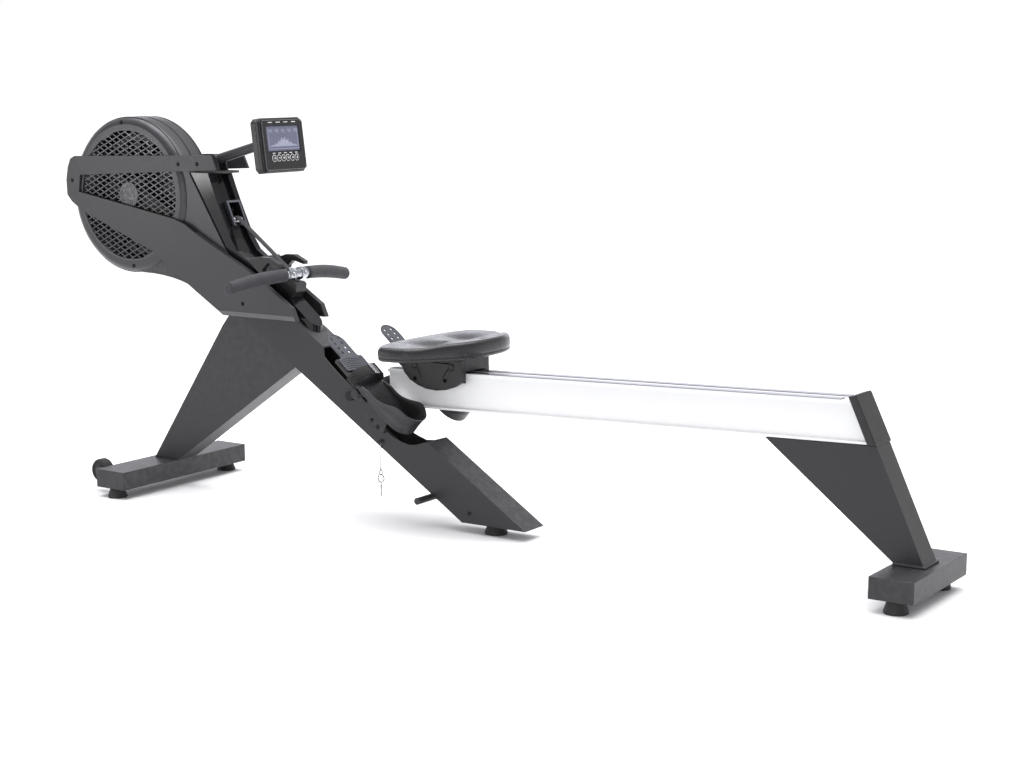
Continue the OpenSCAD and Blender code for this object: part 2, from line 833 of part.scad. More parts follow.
module rail_body() color(silver)
    difference() {
        rail_frame() translate([rail_front, 0, 0]) rotate([90, 0, 90])
            linear_extrude(1300) rail_section();
        slab(-60, 60) polygon([[cap_front + 20 * cap_lean, 309], [1400, 309], [1400, 500],
            [cap_front - 171 * cap_lean, 500]]);
    }

module rail_tracks() color(steel)
    rail_frame() for (side = [-1, 1])
        translate([rail_front + 5, side * 23 - 11, rail_h]) cube([1200, 22, track_t]);

module rail_tongue() color(charcoal)
    difference() {
        both_slabs(20, web_half - 3) difference() {
            union() {
                disc_at(rail_hinge, 20);
                polygon([rail_hinge + [-4, 19.5], rail_hinge + [6, -19], [-176, 300], [-60, 303],
                    [-60, 370], [-186, 366]]);
            }
            disc_at(rail_hinge, axle_r + run_gap);
        }
    }

module rail_end_cap() color(rubber_black)
    slab(-42, 42) polygon([[cap_front, 329], [cap_front + 21, 329], [1060, 430], [1057, 434],
        [1040, 429], [1043, 423]]);

rear_leg_outline = [[1150, 83], [1219, 83], [1106, 328.5], [1084, 328.5], [846, 321.5]];

module rear_leg() color(charcoal) {
    difference() {
        slab(-rail_half, rail_half) polygon(rear_leg_outline);
        slab(-rail_half + tube_wall, rail_half - tube_wall)
            polygon(inset_outline(rear_leg_outline, tube_wall));
        translate([1185, 0, 82]) cylinder(h = 6, r = 8);
    }
    difference() {
        translate([1150, -40, 78]) cube([74, 80, 5.01]);
        translate([1185, 0, 77]) cylinder(h = 8, r = 8);
    }
}

module rear_stabilizer() color(charcoal)
    stabilizer(stab_rear[0], stab_rear[1], 30, 78, rear_half, 119);

module rear_feet() color(rubber_black) {
    rear_x = (stab_rear[0] + stab_rear[1]) / 2;
    rubber_foot(rear_x, -119, 30, 27);
    rubber_foot(rear_x, 119, 30, 27);
}

// ---------------------------------------------------------------- seat

seat_under = 133;

// Seat seen from above: widest at the front, with slanting rear corners
module seat_plan(m) {
    w = seat_half - m;
    polygon([[-138 + m, -60], [-128 + m, -120], [-108 + m, -165], [-84 + m / 2, -w + 6],
        [-60, -w], [-20, -w], [4, -w + 10], [62 - m / 2, -140 + m / 2], [88 - m, -108],
        [104 - m, -60], [108 - m, 0], [104 - m, 60], [88 - m, 108], [62 - m / 2, 140 - m / 2],
        [4, w - 10], [-20, w], [-60, w], [-84 + m / 2, w - 6], [-108 + m, 165],
        [-128 + m, 120], [-138 + m, 60], [-140 + m, 0]]);
}

module seat_cushion() color(rubber_black)
    rail_frame() {
        translate([0, 0, seat_under]) linear_extrude(6) seat_plan(6);
        translate([0, 0, seat_under + 5.9]) linear_extrude(cushion_t - 11.9) seat_plan(0);
        translate([0, 0, seat_under + cushion_t - 6.1]) linear_extrude(6.1) seat_plan(7);
    }

cheek = [40, 44];

module seat_base() color(charcoal)
    rail_frame() {
        difference() {
            union() {
                translate([-116, -58, seat_under - 5.5]) cube([190, 116, 5.5]);
                both_slabs(cheek[0], cheek[1]) polygon([[-108, 70], [58, 70], [58, 128],
                    [-108, 128]]);
                for (x = [-108, 54])
                    translate([x, -cheek[0] - 0.5, 97]) cube([4, 2 * cheek[0] + 1, 31]);
                both_slabs(31.5, cheek[0]) for (x = [-100, 12])
                    translate([x, 74]) square([32, rail_h - flange_t - 0.4 - 74]);
            }
            for (x = roller_x)
                translate([x, 0, roller_z]) rotate([90, 0, 0])
                    cylinder(h = 120, r = 5 + run_gap, center = true);
        }
    }

module carriage_covers() color(rubber_black)
    rail_frame() both_slabs(cheek[1], 60) difference() {
        polygon([[-121, 108], [-112, 90], [-96, 73], [-74, 61], [-48, 53], [-18, 50], [10, 53],
            [36, 61], [58, 74], [58, seat_under - 5.6], [-121, seat_under - 5.6]]);
        for (x = roller_x)
            translate([x, roller_z]) circle(r = 7);
    }

module seat_rollers(x) {
    rail_frame() translate([x, 0, roller_z]) {
        rotate([90, 0, 0]) cylinder(h = 88, r = 5, center = true);
        for (side = [-1, 1])
            translate([0, side * 23 + 9, 0]) rotate([90, 0, 0]) cylinder(h = 18, r = roller_r);
    }
}

module seat_rollers_front() color([0.75, 0.74, 0.7]) seat_rollers(roller_x[0]);

module seat_rollers_rear() color([0.75, 0.74, 0.7]) seat_rollers(roller_x[1]);

// ---------------------------------------------------------------- lanyard

// Wire with an eye on the shoulder screw, a split ring and the lock pin
lanyard_y = -44.5;
module ring_at(z, r, wire) {
    translate([-200, lanyard_y, z]) rotate([90, 0, 0]) rotate_extrude() translate([r, 0])
        circle(r = wire, $fn = 24);
}

module lanyard() color(steel) {
    difference() {
        union() {
            cross_rod([-200, 201], lanyard_y - 1.2, lanyard_y + 1.2, 4.5);
            translate([-200, lanyard_y, 127]) cylinder(h = 71, r = 1.1, $fn = 24);
        }
        cross_rod([-200, 201], lanyard_y - 3, lanyard_y + 3, 2 + run_gap);
    }
    ring_at(123, 5, 1.1);
    ring_at(108, 10.4, 1.3);
    translate([-200, lanyard_y, 62]) cylinder(h = 36, r = 2.2, $fn = 32);
}

main_beam();
front_leg();
front_stabilizer();
front_feet();
flywheel_fork();
drive_axles();
drum_shell_left();
drum_shell_right();
fan_grilles();
side_cover_left();
side_cover_right();
tower_cover();
fairlead_bezel();
pod_cover();
handle_cradle();
console_bracket();
drive_belt();
pedal_brackets();
cover_screws();
frame_bolts();
pull_strap();
transport_wheel_left();
transport_wheel_right();
flywheel();
flywheel_bearings();
drive_pulley();
strap_reel();
guide_roller();
handle_bar();
handle_grips();
handle_clamp();
console_arm();
console_back();
console_front();
console_screen();
console_key_1();
console_key_2();
console_key_3();
console_key_4();
console_key_5();
console_key_6();
left_pedal();
left_toe_slider();
left_foot_strap();
right_pedal();
right_toe_slider();
right_foot_strap();
rail_body();
rail_tracks();
rail_tongue();
rail_end_cap();
rear_leg();
rear_stabilizer();
rear_feet();
seat_cushion();
seat_base();
carriage_covers();
seat_rollers_front();
seat_rollers_rear();
lanyard();
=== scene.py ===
import math

import bmesh
import bpy
from mathutils import Matrix, Vector


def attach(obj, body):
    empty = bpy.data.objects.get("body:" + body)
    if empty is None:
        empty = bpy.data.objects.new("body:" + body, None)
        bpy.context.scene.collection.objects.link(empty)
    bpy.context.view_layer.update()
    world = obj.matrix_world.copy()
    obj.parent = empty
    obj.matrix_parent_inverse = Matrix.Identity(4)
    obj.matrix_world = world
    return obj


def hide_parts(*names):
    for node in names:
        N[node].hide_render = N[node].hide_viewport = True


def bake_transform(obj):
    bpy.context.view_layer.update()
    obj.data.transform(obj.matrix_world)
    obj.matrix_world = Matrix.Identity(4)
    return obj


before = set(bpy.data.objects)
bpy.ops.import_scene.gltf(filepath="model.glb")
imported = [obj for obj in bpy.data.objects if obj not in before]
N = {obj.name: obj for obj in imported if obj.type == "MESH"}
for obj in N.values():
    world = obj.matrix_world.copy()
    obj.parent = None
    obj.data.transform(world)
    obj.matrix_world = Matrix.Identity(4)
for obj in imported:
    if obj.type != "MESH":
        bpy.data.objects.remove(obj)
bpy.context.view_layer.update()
mm = 0.001


# ---------------------------------------------------------------- materials

class Mat:
    """A node material under construction, in object space, so it needs no UVs."""

    def __init__(self, name, color, rough, metal=0.0, spec=0.5, coat=0.0, coat_rough=0.08, sheen=0.0):
        self.m = bpy.data.materials.new(name)
        self.m.use_nodes = True
        self.t = self.m.node_tree
        self.b = self.t.nodes["Principled BSDF"]
        self.b.inputs["Base Color"].default_value = (*color, 1)
        self.b.inputs["Roughness"].default_value = rough
        self.b.inputs["Metallic"].default_value = metal
        self.b.inputs["Specular IOR Level"].default_value = spec
        self.b.inputs["Coat Weight"].default_value = coat
        self.b.inputs["Coat Roughness"].default_value = coat_rough
        self.b.inputs["Sheen Weight"].default_value = sheen
        self.color = color
        self.rough = rough
        self.col_out = None
        self.height = None
        self.coord = self.node("ShaderNodeTexCoord").outputs["Object"]

    def node(self, kind, **values):
        n = self.t.nodes.new(kind)
        for k, v in values.items():
            if k in n.inputs.keys():
                n.inputs[k].default_value = v
            else:
                setattr(n, k, v)
        return n

    def link(self, a, b):
        self.t.links.new(a, b)

    def mapped(self, scale=(1, 1, 1), rot=(0, 0, 0), coord=None):
        n = self.node("ShaderNodeMapping")
        n.inputs["Scale"].default_value = scale
        n.inputs["Rotation"].default_value = rot
        self.link(coord or self.coord, n.inputs["Vector"])
        return n.outputs["Vector"]

    def noise(self, scale, detail=3.0, rough=0.55, vec=None):
        n = self.node("ShaderNodeTexNoise", Scale=scale, Detail=detail, Roughness=rough)
        self.link(vec or self.coord, n.inputs["Vector"])
        return n.outputs["Fac"]

    def remap(self, fac, lo, hi, a=0.0, b=1.0):
        n = self.node("ShaderNodeMapRange")
        n.inputs["From Min"].default_value = lo
        n.inputs["From Max"].default_value = hi
        n.inputs["To Min"].default_value = a
        n.inputs["To Max"].default_value = b
        self.link(fac, n.inputs["Value"])
        return n.outputs["Result"]

    def math(self, op, a, b):
        n = self.node("ShaderNodeMath", operation=op)
        for i, v in enumerate((a, b)):
            if isinstance(v, (int, float)):
                n.inputs[i].default_value = v
            else:
                self.link(v, n.inputs[i])
        return n.outputs[0]

    def tint(self, fac, color):
        """Mixes color into the base colour by fac."""
        n = self.node("ShaderNodeMix", data_type="RGBA")
        self.link(fac, n.inputs["Factor"])
        if self.col_out is None:
            n.inputs[6].default_value = (*self.color, 1)
        else:
            self.link(self.col_out, n.inputs[6])
        n.inputs[7].default_value = (*color, 1)
        self.col_out = n.outputs[2]
        return self

    def mottle(self, scale, amount):
        """Slow light and dark variation of the base colour."""
        f = self.remap(self.noise(scale, 4.0), 0.3, 0.7)
        return self.tint(f, tuple(c * (1 + amount) for c in self.color))

    def vary_rough(self, scale, amount, vec=None):
        f = self.noise(scale, 4.0, vec=vec)
        r = self.remap(f, 0.3, 0.7, max(0.02, self.rough - amount), min(1, self.rough + amount))
        self.link(r, self.b.inputs["Roughness"])
        return self

    def add_height(self, value, amount):
        v = self.math("MULTIPLY", value, amount)
        self.height = v if self.height is None else self.math("ADD", self.height, v)
        return self

    def grain(self, scale, amount, detail=2.0, vec=None):
        """Bump of that many features a metre and that height in metres."""
        return self.add_height(self.noise(scale, detail, vec=vec), amount)

    def wear(self, color, lo=0.53, hi=0.62, strength=0.6):
        """Lighter worn colour on outer edges."""
        g = self.node("ShaderNodeNewGeometry")
        f = self.remap(g.outputs["Pointiness"], lo, hi, 0, strength)
        n = self.math("MULTIPLY", f, self.remap(self.noise(60, 4), 0.35, 0.65))
        return self.tint(n, color)

    def painted_top_light(self, color, amount):
        """Painted top light: a patchy paler tint on faces that look up."""
        g = self.node("ShaderNodeNewGeometry")
        s = self.node("ShaderNodeSeparateXYZ")
        self.link(g.outputs["Normal"], s.inputs[0])
        f = self.remap(s.outputs["Z"], 0.5, 1.0, 0, amount)
        return self.tint(self.math("MULTIPLY", f, self.remap(self.noise(90, 5), 0.4, 0.7)), color)

    def done(self):
        if self.col_out is not None:
            self.link(self.col_out, self.b.inputs["Base Color"])
        if self.height is not None:
            bump = self.node("ShaderNodeBump", Strength=1.0, Distance=1.0)
            self.link(self.height, bump.inputs["Height"])
            self.link(bump.outputs["Normal"], self.b.inputs["Normal"])
        return self.m


def powder(name, color, rough=0.44):
    m = Mat(name, color, rough, spec=0.3)
    m.mottle(5, 0.06).vary_rough(30, 0.025).grain(1500, 0.00012, 2.0).grain(260, 0.00005)
    # Faces that look up get a paler tint: painted top light.
    return m.wear(tuple(min(1, c * 2.6 + 0.03) for c in color)).painted_top_light((0.3, 0.3, 0.31), 0.1).done()


def moulded(name, color, rough, grain=1300, height=0.0001, coat=0.0, wear=0.35):
    m = Mat(name, color, rough, spec=0.35, coat=coat)
    m.mottle(7, 0.08).vary_rough(45, 0.03).grain(grain, height, 2.0)
    return m.wear(tuple(min(1, c * 2.2 + 0.03) for c in color), strength=wear).done()


def metal(name, color, rough, stretch=(1, 1, 1), lines=600, height=0.00002, vary=0.06):
    m = Mat(name, color, rough, metal=1.0)
    vec = m.mapped(stretch)
    m.vary_rough(lines, vary, vec=vec).grain(lines, height, vec=vec)
    return m.mottle(9, 0.07).done()


paint = powder("frame_paint", (0.025, 0.0245, 0.0265), 0.4)
paint_top = powder("frame_paint_fine", (0.028, 0.028, 0.031), 0.36)
cover_mat = moulded("cover_plastic", (0.031, 0.03, 0.0325), 0.34, 1800, 0.00004)
ring_mat = Mat("drum_satin", (0.04, 0.039, 0.043), 0.3, metal=0.35, spec=0.4)
ring_mat.mottle(6, 0.08).vary_rough(40, 0.02).grain(2200, 0.000006)
ring_mat = ring_mat.wear((0.4, 0.4, 0.42), strength=0.3).done()
gloss = Mat("tower_gloss", (0.006, 0.006, 0.007), 0.1, spec=0.32)
gloss.mottle(8, 0.25).vary_rough(25, 0.02).grain(35, 0.00004, 1.0)
gloss = gloss.done()
rubber_mat = moulded("black_rubber", (0.022, 0.022, 0.023), 0.62, 900, 0.00015, wear=0.5)
dark_mat = moulded("dark_moulding", (0.014, 0.014, 0.015), 0.38, 1500, 0.00007)
console_mat = moulded("console_shell", (0.009, 0.009, 0.0105), 0.26, 2200, 0.00003, coat=0.04)
key_mat = moulded("key_plastic", (0.03, 0.03, 0.033), 0.5, 2500, 0.00005)
roller_mat = moulded("roller_nylon", (0.5, 0.49, 0.45), 0.4, 900, 0.00005)
drive_mat = moulded("drive_plastic", (0.03, 0.03, 0.032), 0.45, 1300, 0.00008)
fan_mat = Mat("fan_metal", (0.035, 0.035, 0.038), 0.4, metal=0.6)
fan_mat = fan_mat.mottle(12, 0.2).vary_rough(60, 0.08).grain(500, 0.00006).done()
steel_mat = metal("bright_steel", (0.58, 0.58, 0.6), 0.28, (1, 6, 1), 240)
chrome_mat = metal("clamp_chrome", (0.4, 0.41, 0.44), 0.13, (1, 3, 1), 90, 0.000006, 0.03)
bezel_mat = metal("bezel_metal", (0.2, 0.205, 0.24), 0.26, (5, 1, 1), 420)
rail_mat = Mat("rail_aluminium", (0.72, 0.722, 0.73), 0.32, metal=0.08, coat=0.2, coat_rough=0.15)
rail_vec = rail_mat.mapped((2.0, 60, 60))
rail_mat.mottle(4, 0.03).vary_rough(14, 0.03, vec=rail_vec).grain(40, 0.000003, 3.0, vec=rail_vec)
rail_mat = rail_mat.done()
track_mat = metal("track_steel", (0.26, 0.26, 0.29), 0.3, (0.2, 30, 1), 22, 0.00001)
screw_mat = Mat("screw_black", (0.012, 0.012, 0.013), 0.36, metal=0.7)
screw_mat = screw_mat.mottle(120, 0.3).vary_rough(500, 0.08).grain(1500, 0.00004).done()

PLAIN = {
    paint: ["main_beam", "front_leg", "front_stabilizer", "flywheel_fork", "pedal_brackets", "rail_tongue",
            "rear_leg", "rear_stabilizer", "seat_base", "console_bracket"],
    paint_top: ["console_arm"],
    cover_mat: ["side_cover_left", "side_cover_right"],
    ring_mat: ["drum_shell_left", "drum_shell_right"],
    gloss: ["tower_cover", "pod_cover"],
    rubber_mat: ["front_feet", "rear_feet", "drive_belt", "transport_wheel_left", "transport_wheel_right"],
    dark_mat: ["handle_cradle", "carriage_covers", "rail_end_cap"],
    screw_mat: ["frame_bolts"],
    steel_mat: ["drive_axles", "flywheel_bearings", "guide_roller", "handle_bar"],
    fan_mat: ["flywheel"],
    chrome_mat: ["handle_clamp"],
    bezel_mat: ["fairlead_bezel"],
    rail_mat: ["rail_body"],
    track_mat: ["rail_tracks"],
    console_mat: ["console_back", "console_front"],
    key_mat: ["console_key_%d" % i for i in range(1, 7)],
    roller_mat: ["seat_rollers_front", "seat_rollers_rear"],
    drive_mat: ["drive_pulley", "strap_reel"],
}
BEVEL = {"tower_cover": 3.0, "pod_cover": 3.5, "side_cover_left": 1.6, "side_cover_right": 1.6,
         "handle_cradle": 2.5, "carriage_covers": 2.5, "fairlead_bezel": 1.6, "console_back": 2.6,
         "console_front": 1.3, "rail_end_cap": 3.0, "main_beam": 1.6, "front_stabilizer": 1.8,
         "rear_stabilizer": 1.8, "front_leg": 1.4, "rear_leg": 1.6, "rail_body": 0.9, "handle_clamp": 1.0}


def finish_edges(obj, width, angle=32):
    """Welds, rounds and smooths a piece without touching its own mesh."""
    w = obj.modifiers.new("weld", "WELD")
    w.merge_threshold = 0.00002
    b = obj.modifiers.new("edges", "BEVEL")
    b.width = width * mm
    b.segments = 3 if width > 1.2 else 2
    b.limit_method = "ANGLE"
    b.angle_limit = math.radians(angle)
    b.use_clamp_overlap = True
    b.harden_normals = False
    b.miter_outer = "MITER_ARC"
    n = obj.modifiers.new("normals", "WEIGHTED_NORMAL")
    n.keep_sharp = True
    n.weight = 60


def paint_node(name, material):
    o = N[name]
    o.data.materials.clear()
    o.data.materials.append(material)


for material, names in PLAIN.items():
    for name in names:
        paint_node(name, material)
        finish_edges(N[name], BEVEL.get(name, 0.6))


# ---------------------------------------------------------------- building

def piece(name, verts, faces, material, body, smooth=True):
    """A mesh piece, in metres, that rides on a body."""
    me = bpy.data.meshes.new(name)
    me.from_pydata([tuple(v) for v in verts], [], [tuple(f) for f in faces])
    me.validate()
    bm = bmesh.new()
    bm.from_mesh(me)
    bmesh.ops.recalc_face_normals(bm, faces=bm.faces)
    bm.to_mesh(me)
    bm.free()
    if smooth:
        me.shade_smooth()
    o = bpy.data.objects.new(name, me)
    bpy.context.scene.collection.objects.link(o)
    me.materials.append(material)
    if body:
        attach(o, body)
    return o


class Shape:
    """Collects several closed solids into one mesh."""

    def __init__(self):
        self.v = []
        self.f = []

    def loft(self, rings, closed=False):
        """A skin over closed rings, with flat caps unless the rings close on themselves."""
        n = len(rings[0])
        base = len(self.v)
        for r in rings:
            self.v.extend(r)
        last = len(rings) if closed else len(rings) - 1
        for i in range(last):
            a = base + i * n
            b = base + (i + 1) % len(rings) * n
            for j in range(n):
                k = (j + 1) % n
                self.f.append((a + j, a + k, b + k, b + j))
        if not closed:
            self.f.append(tuple(base + j for j in range(n)))
            self.f.append(tuple(base + (len(rings) - 1) * n + j for j in range(n)))
        return self

    def tube(self, path, radii, sides=12, closed=False, up=Vector((0, 1, 0))):
        """A round bar along a path; one radius, or one for each point."""
        path = [Vector(p) for p in path]
        if isinstance(radii, (int, float)):
            radii = [radii] * len(path)
        rings = []
        count = len(path)
        for i, p in enumerate(path):
            before = path[(i - 1) % count] if closed else path[max(i - 1, 0)]
            after = path[(i + 1) % count] if closed else path[min(i + 1, count - 1)]
            t = (after - before).normalized()
            side = t.cross(up)
            side = side.normalized() if side.length > 0.05 else t.orthogonal().normalized()
            other = side.cross(t)
            rings.append([p + (side * math.cos(a) + other * math.sin(a)) * radii[i]
                          for a in (2 * math.pi * j / sides for j in range(sides))])
        return self.loft(rings, closed)

    def ribbon(self, path, width_dir, width, thick):
        """A flat strap with softened edges along a path."""
        path = [Vector(p) for p in path]
        w = Vector(width_dir).normalized()
        rings = []
        for i, p in enumerate(path):
            t = (path[min(i + 1, len(path) - 1)] - path[max(i - 1, 0)]).normalized()
            n = t.cross(w).normalized()
            h, e = thick / 2, width / 2
            section = ((-e, -h * 0.3), (-e + h * 0.7, -h), (0, -h * 1.06), (e - h * 0.7, -h), (e, -h * 0.3),
                       (e, h * 0.3), (e - h * 0.7, h), (0, h * 1.06), (-e + h * 0.7, h), (-e, h * 0.3))
            rings.append([p + w * a + n * b for a, b in section])
        return self.loft(rings)

    def box(self, centre, axes, half):
        """A box with its own axes."""
        c = Vector(centre)
        x, y, z = (Vector(a) * h for a, h in zip(axes, half))
        return self.loft([[c + z * s - x - y, c + z * s + x - y, c + z * s + x + y, c + z * s - x + y]
                          for s in (-1, 1)])

    def turned(self, centre, axis, profile, sides=24):
        """A solid turned about an axis from (distance along it, radius) pairs."""
        c, a = Vector(centre), Vector(axis).normalized()
        p = a.orthogonal().normalized()
        q = a.cross(p)
        return self.loft([[c + a * h + (p * math.cos(t) + q * math.sin(t)) * r
                           for t in (2 * math.pi * j / sides for j in range(sides))] for h, r in profile])

    def made(self, name, material, body, slot, smooth=True):
        return piece(name, self.v, self.f, material, body, smooth)


def plate(name, outlines, thick, place, material, body, bevel=0.0006):
    """A flat plate with holes: the first outline is its edge, and place() puts a point in the row frame."""
    cu = bpy.data.curves.new(name + "_line", "CURVE")
    cu.dimensions = "2D"
    cu.fill_mode = "BOTH"
    for pts in outlines:
        s = cu.splines.new("POLY")
        s.points.add(len(pts) - 1)
        for p, (a, b) in zip(s.points, pts):
            p.co = (a, b, 0, 1)
        s.use_cyclic_u = True
    cu.extrude = thick / 2 - bevel
    cu.bevel_depth = bevel
    cu.bevel_resolution = 1
    cu.offset = -bevel
    o = bpy.data.objects.new(name + "_line", cu)
    bpy.context.scene.collection.objects.link(o)
    deps = bpy.context.evaluated_depsgraph_get()
    me = bpy.data.meshes.new_from_object(o.evaluated_get(deps))
    verts = [place(*v.co) for v in me.vertices]
    faces = [tuple(f.vertices) for f in me.polygons]
    bpy.data.objects.remove(o)
    out = piece(name, verts, faces, material, body, False)
    bm = bmesh.new()
    bm.from_mesh(out.data)
    bmesh.ops.remove_doubles(bm, verts=bm.verts, dist=0.00001)
    bmesh.ops.recalc_face_normals(bm, faces=bm.faces)
    bm.to_mesh(out.data)
    bm.free()
    return out


def smooth_more(obj, levels=1):
    s = obj.modifiers.new("smooth", "SUBSURF")
    s.levels = s.render_levels = levels


def rounded(half_a, half_b, r, at=(0, 0), steps=5):
    """Outline of a rectangle with round corners."""
    out = []
    for cx, cy, start in ((1, 1, 0), (-1, 1, 90), (-1, -1, 180), (1, -1, 270)):
        for i in range(steps + 1):
            a = math.radians(start + 90 * i / steps)
            out.append((at[0] + cx * (half_a - r) + r * math.cos(a),
                        at[1] + cy * (half_b - r) + r * math.sin(a)))
    return out


def spline(pts, each=4):
    """A smooth closed line through points."""
    out = []
    n = len(pts)
    for i in range(n):
        p = [Vector(pts[(i + k) % n]) for k in (-1, 0, 1, 2)]
        for j in range(each):
            t = j / each
            out.append(0.5 * (2 * p[1] + (p[2] - p[0]) * t + (2 * p[0] - 5 * p[1] + 4 * p[2] - p[3]) * t * t
                              + (3 * p[1] - p[0] - 3 * p[2] + p[3]) * t ** 3))
    return out


def step(x, a, b):
    """0 before a, 1 after b, smooth between."""
    t = min(1, max(0, (x - a) / (b - a)))
    return t * t * (3 - 2 * t)


def woven(name, color, rough=0.75, scale=260):
    m = Mat(name, color, rough, spec=0.25, sheen=0.08)
    fine = m.node("ShaderNodeTexWave", Scale=scale, Distortion=0.6)
    m.link(m.mapped(rot=(0.3, 0.7, 0.2)), fine.inputs["Vector"])
    cross = m.node("ShaderNodeTexWave", Scale=scale * 0.8, Distortion=0.6)
    m.link(m.mapped(rot=(0.2, -0.8, 1.3)), cross.inputs["Vector"])
    both = m.math("MULTIPLY", fine.outputs["Fac"], cross.outputs["Fac"])
    m.tint(both, tuple(c * 2.0 for c in color)).add_height(both, 0.0005)
    return m.grain(900, 0.0002).done()


# Materials of the soft and small pieces
vinyl = Mat("seat_vinyl", (0.012, 0.0118, 0.0132), 0.27, spec=0.42)
cells = vinyl.node("ShaderNodeTexVoronoi", Scale=520.0)
vinyl.link(vinyl.coord, cells.inputs["Vector"])
vinyl.mottle(9, 0.18).vary_rough(38, 0.05).add_height(cells.outputs["Distance"], 0.00012).grain(140, 0.00012)
vinyl = vinyl.done()
foam = Mat("grip_foam", (0.036, 0.036, 0.041), 0.7, spec=0.22, sheen=0.08)
foam = foam.mottle(30, 0.2).grain(1700, 0.0003, 3.0).grain(420, 0.00015).vary_rough(80, 0.08).done()
webbing = woven("strap_webbing", (0.009, 0.009, 0.0095))
pull_web = woven("pull_webbing", (0.03, 0.03, 0.033), 0.7, 330)
toe_mat = moulded("toe_plastic", (0.052, 0.053, 0.066), 0.4, 1500, 0.0001)
foot_mat = moulded("pedal_plastic", (0.017, 0.0165, 0.018), 0.34, 1300, 0.0001)
buckle_mat = metal("buckle_steel", (0.4, 0.41, 0.43), 0.24, (1, 3, 1), 300, 0.000008)
wire_mat = metal("wire_steel", (0.14, 0.14, 0.15), 0.35, (1, 3, 1), 300, 0.000008)
grille_mat = Mat("grille_steel", (0.05, 0.05, 0.053), 0.3, metal=0.75)
grille_mat = grille_mat.mottle(60, 0.5).vary_rough(160, 0.12).grain(600, 0.00006).done()
lcd_mat = Mat("screen_glass", (0.12, 0.123, 0.18), 0.24, spec=0.3)
lcd_mat = lcd_mat.mottle(25, 0.07).vary_rough(60, 0.03).grain(1200, 0.00001).done()
lcd_seg = Mat("screen_segments", (0.3, 0.31, 0.41), 0.3)
lcd_seg = lcd_seg.mottle(300, 0.1).vary_rough(90, 0.04).grain(900, 0.00001).done()
lcd_dark = Mat("screen_dark", (0.12, 0.12, 0.17), 0.3)
lcd_dark = lcd_dark.mottle(300, 0.1).vary_rough(90, 0.04).grain(900, 0.00001).done()
print_mat = Mat("print_white", (0.72, 0.72, 0.72), 0.5)
print_mat = print_mat.mottle(200, 0.06).vary_rough(200, 0.05).grain(1500, 0.00001).done()
# A lighter grey used as painted highlight on rims, the console face's bead and the covers' lower lip.
highlight_mat = moulded("painted_highlight_grey", (0.085, 0.083, 0.088), 0.33, 1500, 0.00004)
# Near-black for painted shade along the drum's seam grooves.
seam_shade_mat = moulded("painted_seam_shade", (0.01, 0.01, 0.011), 0.5, 1500, 0.00004)
# Matt near-black for painted shade in screw holes.
hole_shade_mat = Mat("painted_hole_shade", (0.0015, 0.0015, 0.0015), 0.85, spec=0.1)
hole_shade_mat = hole_shade_mat.mottle(60, 0.3).vary_rough(90, 0.05).grain(900, 0.00003).done()

# ---------------------------------------------------------------- seat cushion

# The rail frame: its tilt, its origin's height, the pad's underside, the roller axles and the cheeks' faces
TILT = math.radians(1.7)
RAIL_Z = 297.4
SEAT_UNDER = 133
AXLE_X = (-80, 30)
AXLE_Z = 109.9
CHEEK_Y = 60


def rail_at(x, y, z):
    """A point in the rail's own frame, in millimetres, put in the row frame."""
    return Vector((x * math.cos(TILT) - z * math.sin(TILT), y,
                   RAIL_Z + x * math.sin(TILT) + z * math.cos(TILT))) * mm


half_seat = [(-140, 0), (-138, 60), (-128, 120), (-108, 165), (-84, 194), (-60, 200), (-20, 200), (4, 190),
             (62, 140), (88, 108), (104, 60), (108, 0)]
outline = spline([Vector(p) for p in half_seat] + [Vector((x, -y)) for x, y in half_seat[-2:0:-1]], 5)


def inset(pts, d):
    out = []
    for i, p in enumerate(pts):
        t = (pts[(i + 1) % len(pts)] - pts[i - 1]).normalized()
        out.append(p + Vector((t.y, -t.x)) * d * turn)
    return out


area2 = sum(outline[i - 1].x * outline[i].y - outline[i].x * outline[i - 1].y for i in range(len(outline)))
turn = -1 if area2 > 0 else 1


def seat_lift(x):
    return 8 * step(x, 12, 74) - 3 * step(-x, 96, 140)


def seat_top(x, y):
    """Height of the pad over its underside: two hollows with a ridge between them, and a raised rear."""
    hollow = sum(math.exp(-((x + 18) / 52) ** 2 - ((y - s * 72) / 46) ** 2) for s in (-1, 1))
    channel = math.exp(-(y / 13) ** 2) * step(x, -30, 60)
    return 35 + seat_lift(x) - 13 * hollow - 4 * channel


rings = []
# Side of the pad from its underside up: inset, height and share of the top's lift
pad_side = ((26, 1.5, 0), (7, 0.3, 0), (2, 2.2, 0), (0.4, 6, 0), (0.2, 8.6, 0), (2.0, 10, 0.1),
            (0.2, 11.4, 0.2), (-0.4, 15, 0.4), (-0.2, 22, 0.8), (1.4, 28, 1), (4.5, 32.4, 1), (9, 34.6, 1),
            (13, 35.2, 1), (16, 34.2, 1), (20, 34.6, 1))
for d, z, lift in pad_side:
    rings.append([rail_at(p.x, p.y, SEAT_UNDER + z + lift * seat_lift(p.x)) for p in inset(outline, d)])
inner = inset(outline, 26)
for s in (1, 0.93, 0.85, 0.76, 0.66, 0.55, 0.44, 0.33, 0.22, 0.11):
    at_s = [(p.x * s - 8 * (1 - s), p.y * s) for p in inner]
    rings.append([rail_at(x, y, SEAT_UNDER + seat_top(x, y)) for x, y in at_s])
cushion = Shape().loft(rings).made("seat_cushion_pad", vinyl, "seat", "seat_vinyl")
smooth_more(cushion)
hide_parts("seat_cushion")

# ---------------------------------------------------------------- pedals

SLOPE = math.radians(40.7)
PEDAL_Y = 108
STRAP_U = 69


